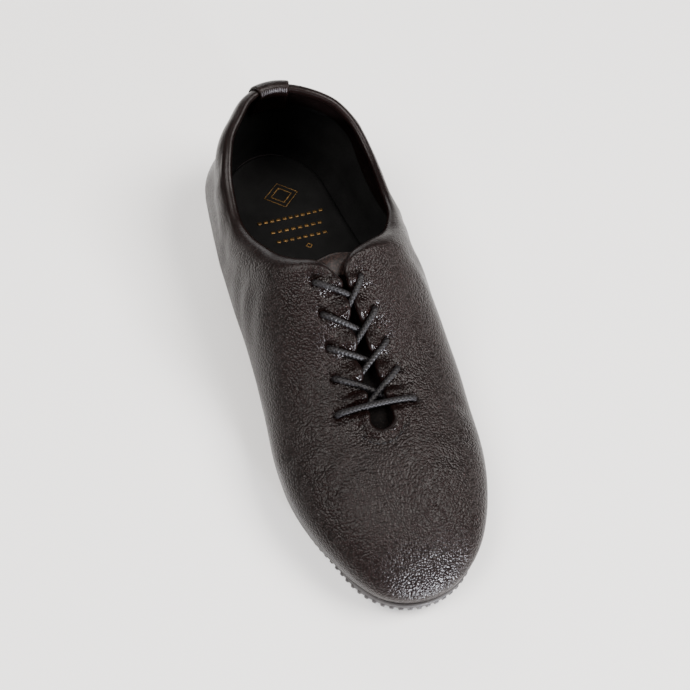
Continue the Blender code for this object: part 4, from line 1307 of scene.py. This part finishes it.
def build_pad(name, heel):
    """A rubber pad: a thin feather line, a smooth band, a row of teeth at the foot and a ribbed tread."""
    pitch = sizes().tooth_pitch
    loop, at, total = resample(pad_outline(heel), 0.00035)
    loop = round_off(loop, 12)
    tangent = np.roll(loop, -2, axis=0) - np.roll(loop, 2, axis=0)
    out = np.stack([tangent[:, 1], -tangent[:, 0], 0 * tangent[:, 0]], -1)
    out /= np.linalg.norm(out, axis=1, keepdims=True)
    out *= np.sign(np.sum(out * (loop - loop.mean(axis=0))))
    share = share_along(loop)
    ground = TOE_SPRING * under("spring", share)
    top = loop[:, 2]
    # the pad's inner end, under the waist, carries no teeth
    on_side = ease((HEELPAD_TO - share if heel else share - FOREPAD_FROM) / 0.016)
    phase = at / total * round(total / pitch)
    tooth = ease(0.5 + 1.6 * np.cos(2 * np.pi * phase))
    # the forefoot pad stands further out round the toe
    proud = HEEL_PROUD if heel else PAD_PROUD + TOE_PROUD * ease((share - 0.86) / 0.09)
    height = top - ground
    rows = []
    # inward distance from the pad's side, height as a share or a distance, and how much the teeth show
    profile = (
        (-0.0060, "top", 0.0, 0.0),
        (-0.0006, "top", 0.0, 0.0),
        (0.0000, "top", -0.0001, 0.0),
        (0.0002, "top", -0.0004, 0.0),
        (-0.0001, "top", -0.0007, 0.0),
        (0.0000, "top", -0.0010, 0.0),
        (0.0001, "mid", 0.55, 0.0),
        (0.0001, "foot", 0.0034, 0.0),
        (0.0002, "foot", 0.0030, 0.35),
        (0.0004, "foot", 0.0026, 0.9),
        (0.0005, "foot", 0.0018, 1.0),
        (0.0005, "foot", 0.0010, 1.0),
        (0.0004, "foot", 0.0004, 1.0),
        (0.0001, "foot", 0.0001, 0.9),
        (-0.0008, "foot", 0.0, 0.3),
    )
    for step, kind, value, toothed in profile:
        distance = proud + step - toothed * on_side * TOOTH_DEPTH * (1 - tooth)
        if kind == "top":
            z = top + value
        elif kind == "mid":
            z = ground + height * value
        else:
            z = ground + np.minimum(value, height * 0.5)
        point = loop + out * np.broadcast_to(distance, at.shape)[:, None]
        point[:, 2] = z
        rows.append(point)
    # the tread closes on a short line along the pad's middle
    x, y = loop[:, 0].mean(), loop[:, 1].mean()
    centre = np.stack([np.full(len(loop), x), y + (loop[:, 1] - y) * 0.45, ground], -1)
    tread = [rows[-1]]
    for part in np.linspace(0, 1, 10)[1:]:
        point = rows[-1] * (1 - part) + centre * part
        point[:, 2] = TOE_SPRING * under("spring", share_along(point))
        tread.append(point)
    sheets = Sheets()
    sheets.add(np.array(rows), 0, wrap=True)
    sheets.add(np.array(tread), 1, wrap=True)
    names = ("moulded_rubber", "ribbed_rubber_tread")
    return sheets.build(name, [material(n) for n in names], recalculate=True)


class SHOE_OT_sole(bpy.types.Operator):
    """Forefoot and heel pads of moulded rubber"""

    bl_idname = "shoe.sole"
    bl_label = "Split sole"

    def execute(self, context):
        place_piece(build_pad("forefoot_pad", False), "rubber", "outsole_forefoot")
        place_piece(build_pad("heel_pad", True), "rubber", "outsole_heel")
        return {"FINISHED"}


class SHOE_OT_sock(bpy.types.Operator):
    """Insole board with its sock and plain foil rules"""

    bl_idname = "shoe.sock"
    bl_label = "Sock"

    def execute(self, context):
        place_piece(build_sock(), "lining", "insole")
        rules = build_foil()
        shell = rules.modifiers.new("thickness", "SOLIDIFY")
        shell.thickness = 0.00006
        shell.offset = 0.0
        place_piece(rules, "lining")
        return {"FINISHED"}


def build_sock():
    """The board with its cloth: a thin sheet inside the lasted wall, thinner at its rim."""
    below = -sizes().wall - GAP
    share = ((1 - np.cos(np.linspace(0, np.pi, SOCK_STEPS))) / 2)[:, None]
    across = np.linspace(0, 1, SOCK_ROWS)
    turns = (-90 + (SOCK_TURN + 90) * across)[None, :]
    size = (SOCK_STEPS, SOCK_ROWS)
    rise = SOCK_THICKNESS * (0.55 + 0.45 * ease((1 - across) / 0.12))
    grids = {}
    for side in (1, -1):
        low = off_last(share, turns, side, np.full(size, below))
        high = off_last(share, turns, side, below - np.broadcast_to(rise, size))
        high = high + (0, 0, 1) * (0.00012 * uneven(high, 0.012, 9.0))[..., None]
        grids[side] = (low, high)
    for layer in (0, 1):
        join(grids[1][layer], grids[-1][layer], (np.s_[0], np.s_[-1], np.s_[:, 0]))
    sheets = Sheets()
    for side, (low, high) in grids.items():
        sheets.add(low, 0, side > 0)
        sheets.add(high, 0, side < 0)
        rim = np.stack([low[:, -1], (low[:, -1] + high[:, -1]) / 2, high[:, -1]], axis=1)
        sheets.add(rim, 0, side > 0)
    return sheets.build("sock", [material("sock_cloth")], recalculate=True)


def build_foil():
    """Plain foil marks on the sock: rows of dashes and lozenge outlines."""
    length = sizes().length
    foil = Sheets()
    for at, left, right in DASH_ROWS:
        count = int((right - left) / DASH_PITCH)
        for i in range(count):
            begin = left + (right - left) * i / count
            ends = np.linspace(begin, begin + DASH_LENGTH, 4)
            rises = (-DASH_HALF_HEIGHT, DASH_HALF_HEIGHT)
            foil.add(np.array([[sock_top(at + rise / length, x) for x in ends] for rise in rises]))
    # the same number of points along each of a lozenge's four sides
    tips = ((0, 1), (1, 0), (0, -1), (-1, 0), (0, 1))
    corners = [
        (a[0] * (1 - t) + b[0] * t, a[1] * (1 - t) + b[1] * t)
        for a, b in zip(tips, tips[1:])
        for t in np.linspace(0, 1, 8, endpoint=False)
    ]
    for at, out, *half_sizes in LOZENGES:
        rings = []
        for size in half_sizes:
            wide = size * LOZENGE_WIDTH
            rings.append([sock_top(at + y * size / length, out + x * wide) for x, y in corners])
        foil.add(np.array(rings), wrap=True)
    return foil.build("foil_rules", [material("stamped_gold_foil")])


def sock_top(share, across):
    """Place just over the sock at a distance from its centre line."""
    side = 1 if across >= 0 else -1
    half = half_width(np.array(share))
    part = min(1.0, abs(across) / float(half))
    turn = -math.degrees(math.acos(min(1.0, part ** (float(section("turn", np.array(share))) / 2))))
    lift = sizes().wall + GAP + SOCK_THICKNESS + 0.00012
    return off_last(share, turn, side, np.array(-lift)) + np.array((0, 0, 0.00008))


class SHOE_OT_tongue(bpy.types.Operator):
    """Thin leather tongue under the slit"""

    bl_idname = "shoe.tongue"
    bl_label = "Tongue"

    def execute(self, context):
        steps, across = 90, 48
        part = np.linspace(0, 1, steps + 1)[:, None]
        where = np.linspace(-1, 1, across + 1)[None, :]
        side = np.where(where >= 0, 1, -1)
        half = TONGUE_HALF_TOP + (TONGUE_HALF_END - TONGUE_HALF_TOP) * part**1.5
        # both ends are rounded
        bow = 1 - np.sqrt(1 - 0.9 * where * where)
        rounded = ((1 - part) * TONGUE_TOP_ROUND - part * TONGUE_END_ROUND) * bow
        share = TONGUE_FROM + (TONGUE_TO - TONGUE_FROM) * part + rounded / sizes().length
        turn = turn_for_reach(share, np.abs(where) * half)
        # it hangs under the slit and comes up to the upper at its lower end
        settle = np.clip((TONGUE_TO - share) / TONGUE_SETTLE, 0, 1)
        sag = 0.0006 * (1 - where * where) * np.sin(np.pi * np.minimum(1, part * 1.2)) * settle
        row, place = np.indices((steps + 1, across + 1))
        edge = np.minimum(np.minimum(row, steps - row), np.minimum(place, across - place))
        half_thick = TONGUE_THICKNESS / 2 * np.sqrt(1 - (1 - np.clip(edge / 2, 0, 1)) ** 2)
        middle = sizes().wall + GAP + TONGUE_DROP * settle + TONGUE_THICKNESS / 2 + sag
        wrinkle = 0.00025 * uneven(last_point(share, turn, side), 0.005, 5.0) * settle
        sheets = Sheets()
        value = np.full((steps + 1, across + 1), 0.35)
        # past this share the tongue takes the skin darkened as painted shade
        wear_and_shade = np.where(share[:-1] > TONGUE_SHADE_FROM, 1, 0)
        for sign in (-1, 1):
            face = off_last(share, turn, side, -(middle + sign * half_thick) + wrinkle)
            sheets.add(face, wear_and_shade, sign > 0, value)
        skins = [material("thin_tongue_skin"), material("tongue_skin_painted_shade")]
        place_piece(sheets.build("tongue_skin", skins, recalculate=True), "leather", "tongue")
        return {"FINISHED"}


def cord_mesh(sheets, route, radius):
    """A braided cord along a route: two families of strands wind round it in opposite ways."""
    route = np.array(route)
    length = arc_length(route)
    count = max(12, int(length[-1] / 0.00022))
    at = np.linspace(0, length[-1], count)
    points = np.stack([smooth(length, route[:, axis], at) for axis in range(3)], -1)
    for _ in range(6):
        points[1:-1] = (points[:-2] + 2 * points[1:-1] + points[2:]) / 4
    tangent = np.gradient(points, axis=0)
    tangent /= np.linalg.norm(tangent, axis=1, keepdims=True)
    # a frame that runs along the cord without twisting
    normal = np.cross(tangent[0], (0.0, 0.0, 1.0))
    normal /= np.linalg.norm(normal)
    sides, overs = [], []
    for forward in tangent:
        normal = normal - forward * (normal @ forward)
        normal /= np.linalg.norm(normal)
        sides.append(normal)
        overs.append(np.cross(forward, normal))
    side, over = np.array(sides)[:, None], np.array(overs)[:, None]
    around = np.linspace(0, 2 * np.pi, 28, endpoint=False)
    turns = 2 * np.pi * at[:, None] / BRAID_TURN
    left = np.abs(np.cos(4 * (around + turns) / 2))
    right = np.abs(np.cos(4 * (around - turns) / 2))
    strand = np.maximum(left, right) ** 2.5
    size = radius * (0.80 + 0.22 * strand)
    across, upward = (np.cos(around) * size)[..., None], (np.sin(around) * size)[..., None]
    grid = points[:, None] + side * across + over * upward
    sheets.add(grid, 0, False, strand, wrap=True)
    sheets.cap(grid[0][::-1], 0, 0.5)
    sheets.cap(grid[-1], 0, 0.5)
    return length[-1]


# Heights of the cord's middle over the last, in shares of its radius, at shares of the way from its hole
# to the slit, for the half from the inner hole, which runs under, and for the half from the outer hole
UNDER_RUN = (
    (0.0, -2.6),
    (0.0, -1.2),
    (0.01, -0.1),
    (0.07, 0.50),
    (0.20, 0.85),
    (0.45, 0.75),
    (0.68, 0.35),
    (0.84, -0.20),
    (1.0, -0.95),
    (1.16, -1.70),
    (1.35, -2.3),
)
OVER_RUN = (
    (0.0, -2.6),
    (0.0, -1.2),
    (0.01, -0.1),
    (0.08, 0.50),
    (0.22, 0.85),
    (0.45, 0.75),
    (0.68, 0.50),
    (0.85, 0.15),
    (1.0, -0.35),
    (1.18, -1.30),
    (1.40, -2.2),
)
# The same for the straight bar, from the inner hole of the lowest pair to the outer one
BAR_RUN = (
    (0.0, -2.6),
    (0.0, -1.2),
    (0.01, -0.1),
    (0.05, 0.55),
    (0.15, 0.95),
    (0.35, 1.1),
    (0.5, 1.1),
    (0.65, 1.1),
    (0.85, 0.95),
    (0.95, 0.55),
    (0.99, -0.1),
    (1.0, -1.2),
    (1.0, -2.6),
)


def lace_route(begin, end, run):
    """Points of the cord between two places given as share of the length and signed reach."""
    points = []
    for part, lift in run:
        share = begin[0] + (end[0] - begin[0]) * part
        out = begin[1] + (end[1] - begin[1]) * part
        points.append(over_ridge(share, out, lift * sizes().lace_radius))
    return points


class SHOE_OT_lace(bpy.types.Operator):
    """Braided cord: a bar over the lowest holes and a crossing from every other pair"""

    bl_idname = "shoe.lace"
    bl_label = "Lace"

    def execute(self, context):
        cord = [material("braided_polyester_cord")]
        holes = {side: [hole(row, side) for row in range(len(HOLES))] for side in (-1, 1)}
        shown = 0.0
        for row, ends in enumerate(CROSSING_ENDS):
            sheets = Sheets()
            for side, end, run in ((-1, ends[:2], UNDER_RUN), (1, ends[2:], OVER_RUN)):
                share, reach = holes[side][row]
                route = lace_route((share, side * reach), end, run)
                shown += cord_mesh(sheets, route, sizes().lace_radius)
            cross = sheets.build(f"lace_crossing_{row + 1}", cord, recalculate=True)
            place_piece(cross, "lace", f"lace_cross_{row + 1}")
        (inner_share, inner), (outer_share, outer) = holes[-1][-1], holes[1][-1]
        sheets = Sheets()
        route = lace_route((inner_share, -inner), (outer_share, outer), BAR_RUN)
        shown += cord_mesh(sheets, route, sizes().lace_radius)
        place_piece(sheets.build("lace_straight_bar", cord, recalculate=True), "lace", "lace_bar")
        print("lace shown, metres:", round(shown, 3))
        return {"FINISHED"}


class HeelWall:
    """The wall behind the heel, read at a distance from the back seam and down from the fold's foot."""

    def __init__(self):
        self.lines, self.frames = {}, {}
        for side in (1, -1):
            share, turn = edge_curve(side)[:2]
            self.lines[side] = share, turn, arc_length(last_point(share, turn, side))

    def frame(self, where):
        """Middle of the wall down from the fold, its outward direction and the length down it."""
        if where not in self.frames:
            side = 1 if where >= 0 else -1
            share, turn, length = self.lines[side]
            here = float(np.interp(abs(where), length, share))
            turns = np.linspace(float(np.interp(abs(where), length, turn)), 0, 200)
            middle = off_last(here, turns, side, np.full(200, -sizes().wall / 2))
            normal = last_normal(here, turns, side)
            if abs(where) < 1e-6:
                normal[:, 0] = 0
                normal /= np.linalg.norm(normal, axis=1, keepdims=True)
            self.frames[where] = middle, normal, arc_length(middle)
        return self.frames[where]

    def point(self, where, distance, away):
        """Place across from the back seam, down from the fold's foot and off the wall's middle."""
        middle, normal, length = self.frame(where)
        if distance < 0:
            down = middle[3] - middle[0]
            return middle[0] + down / np.linalg.norm(down) * distance + normal[0] * away
        at = np.array([np.interp(distance, length, middle[:, axis]) for axis in range(3)])
        out = np.array([np.interp(distance, length, normal[:, axis]) for axis in range(3)])
        return at + out * away


def tab_profile(lift):
    """Strip laid over the fold: distances down from the fold's foot and off the wall's middle."""
    roll, wall = sizes().collar_roll, sizes().wall
    down = np.linspace(TAB_OUTSIDE, 0, 13)[:-1]
    away, height = fold_profile(np.linspace(0, 1, 23), roll)
    inside = np.linspace(0, TAB_INSIDE, 20)[1:]
    fall = cosine_fall(inside / (1.3 * roll))
    below = np.concatenate([down, -height, inside])
    off = np.concatenate([collar_out(down, roll), away, -(wall / 2 + (roll - wall / 2) * fall)])
    run = np.stack([np.gradient(below), np.gradient(off)], -1)
    run /= np.linalg.norm(run, axis=1, keepdims=True)
    return list(zip(below + run[:, 1] * lift, off - run[:, 0] * lift))


class SHOE_OT_pull_tab(bpy.types.Operator):
    """Leather strip folded over the back of the collar, with its stitches"""

    bl_idname = "shoe.pull_tab"
    bl_label = "Pull tab"

    def execute(self, context):
        wall = HeelWall()
        across = 28
        middle_layer = tab_profile(TAB_CLEAR + TAB_THICKNESS / 2)
        sheets = Sheets()
        for lift in (TAB_CLEAR, TAB_CLEAR + TAB_THICKNESS):
            layer = tab_profile(lift)
            grid = np.zeros((across + 1, len(layer), 3))
            for i in range(across + 1):
                where = TAB_HALF * (2 * i / across - 1)
                for j, place in enumerate(layer):
                    if min(i, across - i, j, len(layer) - 1 - j) == 0:
                        place = middle_layer[j]
                    grid[i, j] = wall.point(where, *place)
            sheets.add(grid, 0, lift > TAB_CLEAR, np.full(grid.shape[:2], 0.4))
        tab = sheets.build("heel_pull_tab", [material("full_grain_leather")], recalculate=True)
        place_piece(tab, "leather", "pull_tab")
        thread = Sheets()
        path = tab_profile(TAB_CLEAR + TAB_THICKNESS)
        # a short row across the fold's inner bend and one down each side of the strip
        for where in TAB_HALF * 0.86 * np.linspace(-1, 1, 13):
            stitch(thread, wall.point(where, *path[27]), wall.point(where, *path[30]), 0.00024)
        for where in (-TAB_HALF * 0.80, TAB_HALF * 0.80):
            for i in range(1, 11, 2):
                stitch(thread, wall.point(where, *path[i]), wall.point(where, *path[i + 1]), 0.0002)
        # the thread's pale colour is painted highlight, standing in for glints along the tab's bend
        sewn = thread.build("tab_stitches", [material("pale_glint_thread")], recalculate=True)
        place_piece(sewn, "lace")
        return {"FINISHED"}


def stitch(sheets, start, end, radius):
    """One short stitch of round thread, thinner at both ends where it sinks in."""
    start, end = np.array(start), np.array(end)
    axis = (end - start) / np.linalg.norm(end - start)
    side = np.cross(axis, (0.3, 0.2, 1.0))
    side /= np.linalg.norm(side)
    over = np.cross(axis, side)
    around = np.linspace(0, 2 * np.pi, 10, endpoint=False)
    rings = []
    for part in np.linspace(0, 1, 8):
        size = radius * math.sin(math.pi * (0.12 + 0.76 * part)) ** 0.5
        ring = np.cos(around)[:, None] * side + np.sin(around)[:, None] * over
        rings.append(start + (end - start) * part + ring * size)
    grid = np.array(rings)
    sheets.add(grid, 0, False, np.full(grid.shape[:2], 0.7), wrap=True)
    sheets.cap(grid[0][::-1], 0, 0.7)
    sheets.cap(grid[-1], 0, 0.7)


class SHOE_OT_stitches(bpy.types.Operator):
    """Row of stitches round the closed end of the slit"""

    bl_idname = "shoe.stitches"
    bl_label = "Stitches"

    def execute(self, context):
        thread = Sheets()
        arc = stitch_arc()
        for here, after in zip(np.array(arc), np.array(arc[1:])):
            # each stitch starts and ends a little short of its holes, sunk in, and arches between them
            a, b = (over_ridge(*(here + (after - here) * part), -0.00040) for part in (0.16, 0.84))
            middle = (a + b) / 2 + np.array((0, 0, 0.00045))
            stitch(thread, a, middle, 0.00026)
            stitch(thread, middle, b, 0.00026)
        sewn = thread.build("slit_stitches", [material("polyester_thread")], recalculate=True)
        place_piece(sewn, "lace")
        return {"FINISHED"}


# Studio: half the floor's side, light from all round, and soft lamps over both sides, behind and low in
# front: name, place and side in metres, power in watts, colour
FLOOR_REACH = 4.0
SKY_STRENGTH = 0.28
LIT_SPOT = (0.0, 0.0, 0.03)
SOFTBOXES = (
    ("left_softbox", (-0.85, -0.05, 1.40), 0.9, 34.0, "#fffaf6"),
    ("right_softbox", (0.85, -0.30, 1.40), 0.9, 48.0, "#fffaf6"),
    ("back_softbox", (0.10, 1.50, 0.70), 0.8, 12.0, "#ffffff"),
    ("front_softbox", (0.24, -1.00, 0.05), 0.12, 46.0, "#f4f6ff"),
)
# Camera: place in metres from the last's origin, direction of view and of the picture's right side
CAMERA_SPOT = (-0.1237, -0.2237, 0.4337)
CAMERA_AHEAD = (0.2600, 0.4559, -0.8512)
CAMERA_RIGHT = (0.960, -0.280, 0.0)
CAMERA_LENS = 56.3


class SHOE_OT_stage(bpy.types.Operator):
    """Pale floor, soft studio lights and the camera"""

    bl_idname = "shoe.stage"
    bl_label = "Stage"

    def execute(self, context):
        scene = context.scene
        mesh = bpy.data.meshes.new("floor")
        corners = [(x * FLOOR_REACH, y * FLOOR_REACH, 0) for x, y in ((-1, -1), (1, -1), (1, 1), (-1, 1))]
        mesh.from_pydata(corners, [], [(0, 1, 2, 3)])
        floor = bpy.data.objects.new("floor", mesh)
        scene.collection.objects.link(floor)
        # matt white paint: it only takes the shoe's soft shadow
        finish, _, shader = new_material("painted_floor")
        shader.inputs["Base Color"].default_value = (*linear("#fbfbfa"), 1)
        shader.inputs["Roughness"].default_value = 0.7
        mesh.materials.append(finish)

        world = bpy.data.worlds.new("studio")
        world.use_nodes = True
        sky = world.node_tree.nodes["Background"].inputs
        sky["Color"].default_value = (1.0, 1.0, 1.0, 1)
        sky["Strength"].default_value = SKY_STRENGTH
        scene.world = world
        for name, place, size, power, tint in SOFTBOXES:
            lamp = bpy.data.lights.new(name, "AREA")
            lamp.shape = "SQUARE"
            lamp.size = size
            lamp.energy = power
            lamp.color = linear(tint)
            light = bpy.data.objects.new(name, lamp)
            light.location = place
            aim = Vector(LIT_SPOT) - Vector(place)
            light.rotation_euler = aim.to_track_quat("-Z", "Y").to_euler()
            scene.collection.objects.link(light)

        camera = bpy.data.cameras.new("camera")
        camera.sensor_width = 36.0
        camera.lens = CAMERA_LENS
        camera.clip_start = 0.01
        viewer = bpy.data.objects.new("camera", camera)
        scene.collection.objects.link(viewer)
        # the photograph's viewing angle, with the right side of the picture kept as in the photograph
        spot = Vector(CAMERA_SPOT) + Vector(STAND)
        ahead = Vector(CAMERA_AHEAD).normalized()
        right = Vector(CAMERA_RIGHT)
        right = (right - ahead * right.dot(ahead)).normalized()
        above = right.cross(ahead)
        turn = Matrix((right, above, -ahead)).transposed().to_4x4()
        viewer.matrix_world = Matrix.Translation(spot) @ turn
        scene.camera = viewer
        return {"FINISHED"}


class SHOE_PT_panel(bpy.types.Panel):
    """Sizes, colours and pieces of the shoe"""

    bl_label = "Jazz shoe"
    bl_idname = "SHOE_PT_panel"
    bl_space_type = "VIEW_3D"
    bl_region_type = "UI"
    bl_category = "Shoe"

    def draw(self, context):
        layout = self.layout
        for group in (context.scene.shoe_sizes, context.scene.shoe_colours):
            box = layout.box()
            for name in group.__annotations__:
                box.prop(group, name)
        for operator in OPERATORS:
            layout.operator(operator.bl_idname)


OPERATORS = (
    SHOE_OT_stage,
    SHOE_OT_upper,
    SHOE_OT_tongue,
    SHOE_OT_sock,
    SHOE_OT_sole,
    SHOE_OT_lace,
    SHOE_OT_pull_tab,
    SHOE_OT_stitches,
)
CLASSES = (ShoeSizes, ShoeColours, *OPERATORS, SHOE_PT_panel)


def register():
    """Registers the classes and hangs both property groups on the scene."""
    for item in CLASSES:
        bpy.utils.register_class(item)
    bpy.types.Scene.shoe_sizes = PointerProperty(type=ShoeSizes)
    bpy.types.Scene.shoe_colours = PointerProperty(type=ShoeColours)


def unregister():
    """Takes back what register added."""
    del bpy.types.Scene.shoe_colours
    del bpy.types.Scene.shoe_sizes
    for item in reversed(CLASSES):
        bpy.utils.unregister_class(item)


def main():
    """Builds every piece in order."""
    register()
    bpy.ops.shoe.stage()
    bpy.ops.shoe.upper()
    bpy.ops.shoe.tongue()
    bpy.ops.shoe.sock()
    bpy.ops.shoe.sole()
    bpy.ops.shoe.lace()
    bpy.ops.shoe.pull_tab()
    bpy.ops.shoe.stitches()


if __name__ == "__main__":
    main()
